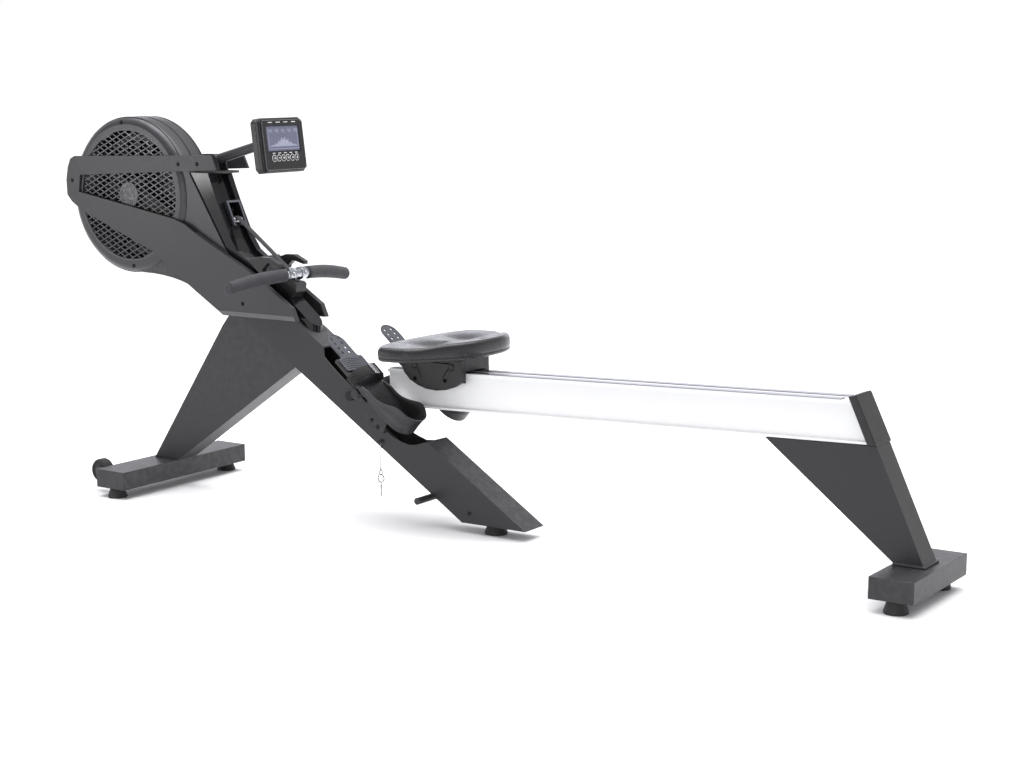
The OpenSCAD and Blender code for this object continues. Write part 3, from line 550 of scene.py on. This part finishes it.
def make_pedal(side, word):
    body = word + "_pedal"

    def at(u, v, n):
        return Vector((-248 + u * math.cos(SLOPE) + n * math.sin(SLOPE), side * PEDAL_Y + v,
                       416 - u * math.sin(SLOPE) + n * math.cos(SLOPE))) * mm

    half, heel_u = 46.6, 208
    # The foot plate with fine ribs along it
    ring = [(0, -half), (0, half)] + [(heel_u + half * math.sin(a), half * math.cos(a))
                                      for a in (math.pi * i / 24 for i in range(25))]
    levels = []
    for shrink, n in ((3, -10), (0.6, -9.2), (0, -7), (0, -1.6), (0.8, -0.4), (2.2, 0)):
        k = 1 - shrink / half
        levels.append([at(124 + (u - 124) * (1 - shrink / 130), v * k, n) for u, v in ring])
    s = Shape().loft(levels)
    for i in range(-5, 6):
        top = 178 - 2 * abs(i)
        s.tube([at(u, i * 7.4, -0.1) for u in (92, 110, 130, 150, top)], 1.1 * mm, 8)
    s.turned(at(91.6, -half + 2, -26.8), (0, 1, 0), ((0, 8 * mm), (0, 11.4 * mm), (0.001, 12 * mm),
                                                    (0.0882, 12 * mm), (0.0892, 11.4 * mm), (0.0892, 8 * mm)))
    block = [at(81.6, -38, -26.8), at(101.6, -38, -26.8), at(104, -38, -8), at(79, -38, -8)]
    s.loft([block, [p + Vector((0, 0.076, 0)) for p in block]])
    plate_piece = s.made(word + "_foot_plate", foot_mat, body, "pedal_plastic")
    finish_edges(plate_piece, 0.5, 40)
    # Heel cup: a wall round the heel with a wavy rim
    rings = []
    count = 72
    straight = heel_u - 96
    total = 2 * straight + math.pi * half
    for i in range(count + 1):
        d = total * i / count
        if d < straight:
            u, v, nu, nv = 96 + d, half, 0, 1
        elif d < straight + math.pi * half:
            a = (d - straight) / half
            nu, nv = math.sin(a), math.cos(a)
            u, v = heel_u + half * nu, half * nv
        else:
            u, v, nu, nv = heel_u - (d - straight - math.pi * half), -half, 0, -1
        wave = 4.5 * math.sin((u - 96) / 17) * step(u, 96, 120) * (1 - step(u, 205, 235))
        rise = 5 + 36 * step(u, 126, 214) + wave
        flare = 1.0 + 2.2 * rise / 46
        t = 3.6
        prof = ((0.3, -6), (0.2, rise * 0.5), (flare * 0.6, rise - 1.6), (flare * 0.6 + 0.9, rise - 0.2),
                (flare * 0.6 - 0.6, rise + 0.6), (flare * 0.6 - 2.4, rise + 0.5),
                (flare * 0.5 - t, rise - 1.2), (-t, rise * 0.5), (-t - 1.0, 0.5), (-t - 1.4, -6))
        rings.append([at(u + nu * o, v + nv * o, n) for o, n in prof])
    cup = Shape().loft(rings).made(word + "_heel_cup", foot_mat, body, "pedal_plastic")
    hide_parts(word + "_pedal")
    # A thin tube along the top of the cup wall in lighter grey: a painted highlight on the rim.
    rim = Shape().tube([(a + b) / 2 for a, b in ((r[4], r[5]) for r in rings)], 0.9 * mm, 8)
    rim.made(word + "_heel_rim_highlight", highlight_mat, body, "pedal_plastic")
    # Toe piece with two rows of slots and a waved pad
    toe = word + "_toe_slider"
    tongue = [(-45 + 30 * math.cos(a), 30 * math.sin(a))
              for a in (math.pi * (0.5 + i / 24) for i in range(25))]
    tongue += [(-4, -30), (0, -31.5), (3, -36), (4, -42.5), (8, -44), (40, -44), (44, -40), (44, 40),
               (40, 44), (8, 44), (4, 42.5), (3, 36), (0, 31.5), (-4, 30)]
    slots = [rounded(3.6, 4.2, 2.2, (-58 + 15 * i, v)) for i in range(4) for v in (-13, 13)]
    scaled = [[(a * mm, b * mm) for a, b in line] for line in [tongue] + slots]
    body_toe = plate(toe + "_plate", scaled, 4 * mm, lambda a, b, c: at(a / mm, b / mm, 3 + c / mm),
                     toe_mat, toe, 0.8 * mm)
    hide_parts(toe)
    s = Shape()
    for i in range(6):
        path = [at(8 + i * 6.1 + 2.2 * math.sin(v / 11 + i * 0.25), v, 5.0) for v in range(-40, 41, 4)]
        s.tube(path, 1.25 * mm, 8, up=at(0, 0, 1) - at(0, 0, 0))
    edge = [at(-45 + 26.5 * math.cos(a), 26.5 * math.sin(a), 5.0)
            for a in (math.pi * (0.5 + i / 20) for i in range(21))]
    edge = [at(-2, 26.5, 5.0)] + edge + [at(-2, -26.5, 5.0)]
    s.tube(edge, 0.8 * mm, 8, up=at(0, 0, 1) - at(0, 0, 0))
    s.made(toe + "_ribs", toe_mat, toe, "toe_plastic")
    # Foot strap, its buckle and its loose end
    wide = at(1, 0, 0) - at(0, 0, 0)
    path = [(-48.8, -13), (-48.8, -6), (-48.6, 0)]
    path += [(-48.2 * math.cos(a), 1.5 + 25.4 * math.sin(a) ** 0.75) for a in
             (math.pi * (0.06 + 0.88 * i / 26) for i in range(27))]
    path += [(48.6, 0), (48.8, -6), (48.8, -13)]
    line = [at(STRAP_U + 1.2 * math.sin(v / 16), v, n) for v, n in path]
    strap = Shape().ribbon(line, wide, 30 * mm, 2.6 * mm)
    strap = strap.made(word + "_strap_band", webbing, body, "strap_webbing")
    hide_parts(word + "_foot_strap")
    inward = -side
    loose = [(2, 29.2), (12, 29.6), (22, 28.6), (31, 25.6), (39, 20.5), (45, 14), (50, 8), (52.5, 2),
             (51.5, -4)]
    line = [at(STRAP_U + 0.05 * v, inward * v, n) for v, n in loose]
    end = Shape().ribbon(line, wide, 27 * mm, 2.2 * mm)
    end.made(word + "_strap_end", webbing, body, "strap_webbing")
    frame_line = [(a * mm, b * mm) for a, b in rounded(17.5, 9, 3)]
    hole_1 = [(a * mm, b * mm) for a, b in rounded(14.2, 2.9, 1, (0, 4.2))]
    hole_2 = [(a * mm, b * mm) for a, b in rounded(14.2, 2.9, 1, (0, -4.2))]
    lean = math.radians(-inward * 10)
    plate(word + "_buckle", [frame_line, hole_1, hole_2], 2.4 * mm,
          lambda a, b, c: at(STRAP_U + a / mm, inward * 8 + b / mm * math.cos(lean) - c / mm * math.sin(lean),
                             30.6 + b / mm * math.sin(lean) + c / mm * math.cos(lean)),
          buckle_mat, body, 0.7 * mm)
    line = [at(STRAP_U, inward * v, n) for v, n in ((18, 27.6), (22, 30.8), (26, 29.4))]
    keeper = Shape().ribbon(line, wide, 33 * mm, 1.8 * mm)
    keeper.made(word + "_strap_keeper", webbing, body, "strap_webbing")


make_pedal(-1, "left")
make_pedal(1, "right")

# ---------------------------------------------------------------- handle

HANDLE = Vector((-500, 0, 597)) * mm
for sign, word in ((-1, "left"), (1, "right")):
    a = HANDLE + Vector((0, sign * 38, 0)) * mm
    b = Vector((-524, sign * 228, 577)) * mm
    along = (b - a).normalized()
    start = a + along * 5 * mm
    length = (b - start).length
    path, radii = [], []
    for i in range(33):
        t = i / 32
        path.append(start.lerp(b, t) + Vector((0, 0, 4.2 * math.sin(math.pi * t))) * mm)
        radii.append((16.2 + 0.7 * math.sin(math.pi * t) + 0.12 * math.sin(t * 95)) * mm)
    for i in range(1, 7):
        k = math.radians(15 * i)
        path.append(b + along * 4.0 * math.sin(k) * mm - along * 0.5 * mm)
        radii.append((12 + 4.2 * math.cos(k)) * mm if i < 6 else 11.5 * mm)
    grip = Shape().tube(path, radii, 28, up=Vector((1, 0, 0)))
    grip = grip.made("grip_" + word, foam, "handle", "grip_foam")
    if sign < 0:
        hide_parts("handle_grips")
s = Shape()
for y in (-23, 23):
    for dx, dz, ax in ((15, 2, (1, 0, 0.1)), (1, 15, (0, 0, 1))):
        s.turned(HANDLE + Vector((dx - ax[0] * 2, y, dz - ax[2] * 2)) * mm, ax,
                 ((0, 5.2 * mm), (0.0035, 5.2 * mm), (0.0046, 4.2 * mm), (0.0046, 2.4 * mm),
                  (0.003, 2.2 * mm)), 18)
s.tube([HANDLE + Vector((-14 + 9 * math.cos(t), 9 * math.sin(t), 6)) * mm
        for t in (2 * math.pi * i / 24 for i in range(24))], 2.4 * mm, 10, True, Vector((0, 0, 1)))
for y in (-13.4, 13.4):
    s.turned(HANDLE + Vector((0, y - 1.3, 0)) * mm, (0, 1, 0),
             ((0, 12 * mm), (0, 15.8 * mm), (0.0006, 16.3 * mm), (0.002, 16.3 * mm), (0.0026, 15.8 * mm),
              (0.0026, 12 * mm)), 32)
s.made("clamp_hardware", chrome_mat, "handle", "clamp_chrome")

# ---------------------------------------------------------------- pull strap

strap_points = [(-787.1, 686), (-744, 709.8), (-701.2, 733.5), (-698, 734.6), (-695.5, 734.8),
                (-692.5, 734.1), (-690, 732.7)]
strap_points += [(-690 + 169 * t, 732.7 - 126.7 * t) for t in (i / 24 for i in range(1, 25))]
strap = Shape().ribbon([Vector((x, 0, z)) * mm for x, z in strap_points], (0, 1, 0), 18 * mm, 2.1 * mm)
strap = strap.made("pull_webbing", pull_web, None, "strap_webbing")
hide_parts("pull_strap")
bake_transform(strap)

# ---------------------------------------------------------------- console face

LEAN = math.radians(7.4)


def face_at(x, y, z):
    """A point in the console's own frame, in millimetres."""
    return Vector((-530 + x * math.cos(LEAN) - z * math.sin(LEAN), y,
                   923 + x * math.sin(LEAN) + z * math.cos(LEAN))) * mm


face_axes = [face_at(1, 0, 0) - face_at(0, 0, 0), Vector((0, 1, 0)) * mm, face_at(0, 0, 1) - face_at(0, 0, 0)]


def flat_marks(name, marks, x, material, slot, thick=0.3, body="console"):
    """Small flat rectangles on the console: (y, z, half width, half height)."""
    s = Shape()
    for y, z, w, h in marks:
        s.box(face_at(x, y, z), face_axes, (thick, w, h))
    return s.made(name, material, body, slot, False)


pane = Shape().loft([[face_at(x, y, 16 + z) for y, z in rounded(a, b, r)]
                     for x, a, b, r in ((-4.4, 61.2, 31.2, 3), (-2.0, 61.2, 31.2, 3), (-1.6, 60.7, 30.7, 3))])
pane = pane.made("lcd_pane", lcd_mat, "console", "screen_glass")
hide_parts("console_screen")
finish_edges(pane, 0.3, 40)
heights = [2 + 15 * math.exp(-((i - 13) / 6.5) ** 2) + 3.0 * (i % 3) * math.exp(-((i - 12) / 9.0) ** 2)
           for i in range(26)]
SCREEN_X = -1.45
flat_marks("lcd_mountain", [(-50 + i * 4, -4 + h / 2, 1.6, h / 2) for i, h in enumerate(heights)], SCREEN_X,
           lcd_seg, "screen_glass")
digits = []
for group in range(5):
    for d in range(2):
        y, z = -50 + group * 24 + d * 7, 34
        digits += [(y, z + 5, 2.2, 0.5), (y, z, 2.2, 0.5), (y - 2.4, z + 2.5, 0.5, 2),
                   (y + 2.4, z - 2.5, 0.5, 2), (y + 2.4, z + 2.5, 0.5, 2)]
digits += [(-52 + 5.2 * i, -9.5, 1.9, 0.8) for i in range(21)] + [(-56, 15, 0.5, 25), (56, 15, 0.5, 25)]
flat_marks("lcd_digits", digits, SCREEN_X, lcd_seg, "screen_glass")
flat_marks("lcd_dots", [(-52 + 8 * i, 24 + 3 * (i % 2), 2.4, 0.9) for i in range(14)], SCREEN_X,
           lcd_dark, "screen_glass")
words = [(-46 + 30 * i + dx, 57, w, 1.0) for i in range(4) for dx, w in ((-5, 2.6), (0.6, 1.8), (5.4, 2.2))]
words += [(-43.5 + 21.7 * i + dx, -20.5, w, 0.9) for i in range(5) for dx, w in ((-3.2, 2.0), (2.2, 2.4))]
flat_marks("face_print", words, 0.12, print_mat, "key_plastic")
for i in range(6):
    y = (i - 2.5) * 17.4
    ring = Shape()
    ring.loft([[face_at(x, y + r * math.cos(t), -33 + r * math.sin(t)) for t in
                (2 * math.pi * j / 40 for j in range(40))] for x, r in ((-0.4, 7.3), (0.25, 7.3), (0.35, 7.6),
                                                                       (0.35, 8.6), (-0.4, 8.6))], True)
    ring.made("key_ring_%d" % (i + 1), print_mat, "console", "key_plastic")
    marks = [[(0, 0, 2.6, 0.8), (0, 0, 0.8, 2.6)], [(0, 0, 2.6, 0.8)], [(0, 0, 2, 2)],
             [(-1.4, 0, 0.7, 2.4), (1.4, 0, 0.7, 2.4)], [(0, 1.4, 2.4, 0.7), (0, -1.4, 2.4, 0.7)],
             [(0, 0, 1.3, 2.6)]][i]
    flat_marks("key_mark_%d" % (i + 1), [(y + a, -33 + b, w, h) for a, b, w, h in marks], 1.6, print_mat,
               "key_plastic", 0.2, "console_key_%d" % (i + 1))
# A raised bead round the face in lighter grey, its colour a painted highlight line.
bead = [face_at(0.0, y, z) for y, z in rounded(77.4, 62.4, 7.2, steps=6)]
bead = Shape().tube(bead, 0.9 * mm, 8, True, face_axes[0] * 1000)
bead.made("face_bead_highlight", highlight_mat, "console", "console_shell")

# ---------------------------------------------------------------- drum grilles and trims

HUB = (-1025, 781)


def chord(angle, offset, r):
    """Ends of a line across a circle round the hub, at an angle and an offset from its middle."""
    h = math.sqrt(max(0, r * r - offset * offset))
    c, s = math.cos(angle), math.sin(angle)
    return [(HUB[0] - s * offset + c * e, HUB[1] + c * offset + s * e) for e in (-h, h)]


for sign, word in ((-1, "left"), (1, "right")):
    s = Shape()
    for tilt, y in ((25, 53.6), (-30, 52.4)):
        a = math.radians(tilt)
        axis = Vector((math.cos(a), 0, math.sin(a)))
        across = Vector((-math.sin(a), 0, math.cos(a)))
        k = -12
        while k <= 12:
            (x0, z0), (x1, z1) = chord(a, k * 14.0, 169.5)
            half = math.hypot(x1 - x0, z1 - z0) / 2
            if half > 12:
                s.box(Vector(((x0 + x1) / 2, sign * y, (z0 + z1) / 2)) * mm, (axis, (0, 1, 0), across),
                      (half * mm, 0.75 * mm, 1.6 * mm))
            k += 1
    s.turned(Vector((HUB[0], sign * 51.2, HUB[1])) * mm, (0, sign, 0),
             ((0, 0.03), (0, 0.0345), (0.003, 0.0345), (0.0036, 0.0335), (0.0036, 0.026), (0.003, 0.024)), 48)
    grille = s.made("grille_" + word, grille_mat, "root", "grille_steel", False)
    if sign < 0:
        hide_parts("fan_grilles")
    # Rim round the grille in the lighter grey of the painted highlights.
    ring = Shape()
    ring.tube([Vector((HUB[0] + 172.5 * math.cos(t), sign * 54.6, HUB[1] + 172.5 * math.sin(t))) * mm
               for t in (2 * math.pi * i / 120 for i in range(120))], 2.6 * mm, 10, True)
    ring.made("grille_rim_highlight_" + word, highlight_mat, "root", "grille_steel")
    # Thin near-black rings on the drum's seams: painted shade standing in for the seam grooves.
    seam = Shape()
    for r, y in ((206.2, 1.2), (205.5, 42.5)):
        seam.tube([Vector((HUB[0] + r * math.cos(t), sign * y, HUB[1] + r * math.sin(t))) * mm
                   for t in (2 * math.pi * i / 160 for i in range(160))], 0.7 * mm, 6, True)
    seam.made("drum_seam_shade_" + word, seam_shade_mat, "root", "cover_plastic")
    # A lighter strip along the cover's lower edge: a painted highlight on its bevelled lip.
    strip = Shape()
    low = [(-691, 484.6), (-448.5, 484.6), (-453.5, 496), (-708, 496)]
    strip.loft([[Vector((x, sign * y, z)) * mm for x, z in low] for y in (65.6, 67.0)])
    strip = strip.made("cover_edge_highlight_" + word, highlight_mat, "root", "cover_plastic")
    finish_edges(strip, 0.5)

# Lower tail of the drum shell, which runs on behind the covers towards the beam
tail_low = [(-1010, 577.5), (-985, 576), (-950, 575), (-918, 572.5), (-884, 567.5), (-855, 561.5),
            (-826, 552.5), (-796, 540), (-772, 525), (-752, 508)]
tail_high = [(-752, 560), (-800, 640), (-852, 681), (-872, 652), (-910, 617), (-957, 593), (-1000, 583)]
tail = Shape()
tail.loft([[Vector((x, y, z)) * mm for x, z in tail_low + tail_high] for y in (-47, 47)])
tail = tail.made("drum_tail", cover_mat, "root", "cover_plastic", False)
finish_edges(tail, 4.0, 24)

# ---------------------------------------------------------------- fasteners


def socket_head(s, at, axis, r, high):
    """A button head with a hex socket."""
    head = ((0, 1), (0.45, 1), (0.85, 0.86), (1, 0.6), (1, 0.48))
    hexagon = ((1.002, 0.46), (1.02, 0.4))
    for profile, sides in ((head, 24), (hexagon, 6)):
        s.turned(Vector(at) * mm, axis, [(high * h * mm, r * k * mm) for h, k in profile], sides)


def hole_shade_disc(s, at, axis, r, high):
    """A near-black disc round a screw: painted shade standing in for its countersunk hole."""
    rim = ((0, 1), (0.2, 1), (0.3, 0.9))
    s.turned(Vector(at) * mm, axis, [(high * h * mm, r * k * mm) for h, k in rim], 24)


# The near-black discs round the cover screws are painted shade standing in for their holes.
screws, bolts, hole_shades = Shape(), Shape(), Shape()
for sign in (-1, 1):
    for x, z in ((-1222, 814), (-834, 868), (-768, 870), (-623, 518)):
        hole_shade_disc(hole_shades, (x, sign * 66, z), (0, sign, 0), 5.2, 2)
        socket_head(screws, (x, sign * 66.1, z), (0, sign, 0), 2.8, 1.0)
    for x, z in ((-1042, 972), (-1012, 593)):
        hole_shade_disc(hole_shades, (x, sign * 57, z), (0, sign, 0), 5.2, 2)
        socket_head(screws, (x, sign * 57.1, z), (0, sign, 0), 2.8, 1.0)
    for x, z in ((-226, 252), (-208, 236)):
        socket_head(bolts, (x, sign * 47, z), (0, sign, 0), 5.4, 2.4)
    socket_head(bolts, (64, sign * 41, 51), (0, sign, 0), 5.0, 2.2)
screws = screws.made("cover_screw_heads", screw_mat, "root", "screw_black")
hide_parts("cover_screws")
hole_shades.made("cover_screw_hole_shades", hole_shade_mat, "root", "screw_black")
bolts.made("frame_bolt_heads", screw_mat, "root", "bright_steel")
# Near-black discs round the carriage screws: painted shade standing in for their holes.
covers = Shape()
for sign in (-1, 1):
    for x, z in ((-79, 74.5), (10, 74.0)):
        p = rail_at(x, sign * CHEEK_Y, z + 2)
        covers.turned(p, (0, sign, 0), ((-0.001, 5.2 * mm), (0.0006, 5.2 * mm), (0.0009, 4.6 * mm)), 24)
covers.made("carriage_screw_hole_shades", hole_shade_mat, "seat", "screw_black")
caps = Shape()
for sign in (-1, 1):
    for x in AXLE_X:
        caps.turned(rail_at(x, sign * CHEEK_Y, AXLE_Z), (0, sign, 0), ((-0.002, 6.8 * mm), (0.0004, 6.8 * mm),
                                                                  (0.0008, 6.2 * mm), (0.001, 5.2 * mm)), 28)
caps.made("carriage_axle_caps", dark_mat, "seat", "cover_plastic")

# ---------------------------------------------------------------- lanyard

LY = -44.5
wire_path = [(-200 + 0.4 * math.sin(i / 2.6), LY, 198 - 71 * i / 15) for i in range(16)]
cu = bpy.data.curves.new("lanyard_wire", "CURVE")
cu.dimensions = "3D"
sp = cu.splines.new("POLY")
sp.points.add(15)
for p, q in zip(sp.points, wire_path):
    p.co = (*(Vector(q) * mm), 1)
cu.bevel_depth = 1.1 * mm
cu.bevel_resolution = 3
cu.use_fill_caps = True
wire = bpy.data.objects.new("lanyard_wire", cu)
scene = bpy.context.scene
scene.collection.objects.link(wire)
cu.materials.append(wire_mat)
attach(wire, "lanyard")
hook = Shape()
hook.tube([Vector((-200 + 5 * math.sin(t), LY, 122.6 + 5 * math.cos(t))) * mm
           for t in (2 * math.pi * i / 20 for i in range(20))], 1.1 * mm, 8, True)
hook.turned(Vector((-200, LY, 126.6)) * mm, (0, 0, 1), ((0, 1.5 * mm), (0.0005, 1.8 * mm), (0.007, 1.8 * mm),
                                                       (0.0075, 1.4 * mm)), 14)
hook.tube([Vector((-200 + 4.6 * math.sin(t), LY, 201 + 4.6 * math.cos(t))) * mm
           for t in (2 * math.pi * i / 20 for i in range(20))], 0.9 * mm, 8, True)
hook = hook.made("lanyard_eye", wire_mat, "lanyard", "bright_steel")
split = Shape()
split.tube([Vector((-200 + 9.6 * math.sin(t), LY - 1.1 + 2.2 * i / 60, 107.6 + 9.6 * math.cos(t))) * mm
            for i, t in ((i, 4 * math.pi * i / 60) for i in range(57))], 1.0 * mm, 8)
split = split.made("lanyard_ring", screw_mat, "lanyard", "bright_steel")
pin = Shape().turned(Vector((-200, LY, 62)) * mm, (0, 0, 1),
                     ((0, 0.8 * mm), (0.0015, 2.0 * mm), (0.029, 2.2 * mm), (0.030, 1.4 * mm),
                      (0.033, 1.4 * mm), (0.034, 2.2 * mm), (0.036, 2.2 * mm)), 16)
pin.made("lanyard_pin", buckle_mat, "lanyard", "bright_steel")
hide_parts("lanyard")

# ---------------------------------------------------------------- camera and light

AZ, EL = math.radians(33.55), math.radians(9.28)
EYE = (2.689, -3.812, 1.119)
back = Vector((math.sin(AZ) * math.cos(EL), -math.cos(AZ) * math.cos(EL), math.sin(EL)))
right = Vector((math.cos(AZ), math.sin(AZ), 0))
up = back.cross(right)
cam_data = bpy.data.cameras.new("camera")
cam_data.lens = 68.41
cam_data.sensor_width = 36
cam = bpy.data.objects.new("camera", cam_data)
cam.matrix_world = Matrix((
    (right.x, up.x, back.x, EYE[0]), (right.y, up.y, back.y, EYE[1]), (right.z, up.z, back.z, EYE[2]),
    (0, 0, 0, 1)))
scene.collection.objects.link(cam)
scene.camera = cam

world = bpy.data.worlds.new("studio")
scene.world = world
world.use_nodes = True
wt = world.node_tree
wc = wt.nodes.new("ShaderNodeTexCoord")
ws = wt.nodes.new("ShaderNodeSeparateXYZ")
wr = wt.nodes.new("ShaderNodeValToRGB")
wt.links.new(wc.outputs["Generated"], ws.inputs[0])
wt.links.new(ws.outputs["Z"], wr.inputs["Fac"])
wt.links.new(wr.outputs["Color"], wt.nodes["Background"].inputs["Color"])
wr.color_ramp.elements[0].position = 0.0
wr.color_ramp.elements[0].color = (1, 1, 1, 1)
wr.color_ramp.elements[1].position = 1.0
wr.color_ramp.elements[1].color = (1.15, 1.15, 1.17, 1)
e = wr.color_ramp.elements.new(0.12)
e.color = (1, 1, 1, 1)
e = wr.color_ramp.elements.new(0.35)
e.color = (0.5, 0.5, 0.515, 1)
wt.nodes["Background"].inputs["Strength"].default_value = 1.0


def area_light(name, at, look, size, power, color=(1, 1, 1)):
    d = bpy.data.lights.new(name, "AREA")
    d.shape = "RECTANGLE"
    d.size, d.size_y = size
    d.energy = power
    d.color = color
    o = bpy.data.objects.new(name, d)
    o.location = at
    o.rotation_euler = (Vector(at) - Vector(look)).to_track_quat("Z", "Y").to_euler()
    o.visible_camera = False
    scene.collection.objects.link(o)


area_light("overhead", (-0.4, 0.6, 3.1), (0, 0, 0.3), (4.2, 2.0), 90, (0.98, 0.98, 1))
area_light("front_fill", (1.4, -4.6, 1.3), (0.5, 0, 0.4), (2.4, 1.4), 16)
area_light("rear_edge", (-2.0, 3.4, 1.35), (-0.1, 0, 0.5), (4.6, 1.3), 20, (0.86, 0.88, 1))
area_light("band_glint", (-2.95, -2.3, 0.78), (-0.8, -0.06, 0.87), (0.5, 0.3), 5)
sun_data = bpy.data.lights.new("sky_wash", "SUN")
sun_data.energy = 1.5
sun_data.angle = math.radians(50)
sun = bpy.data.objects.new("sky_wash", sun_data)
sun.rotation_euler = (math.radians(4), math.radians(8), 0)
scene.collection.objects.link(sun)

bpy.ops.mesh.primitive_grid_add(x_subdivisions=24, y_subdivisions=24, size=60)
floor = bpy.context.active_object
floor.name = "floor"
fm = Mat("floor_white", (0.93, 0.93, 0.935), 0.75, spec=0.2)
floor.data.materials.append(fm.mottle(3, 0.01).vary_rough(6, 0.05).done())
scene.view_settings.view_transform = "Standard"

bpy.context.view_layer.update()
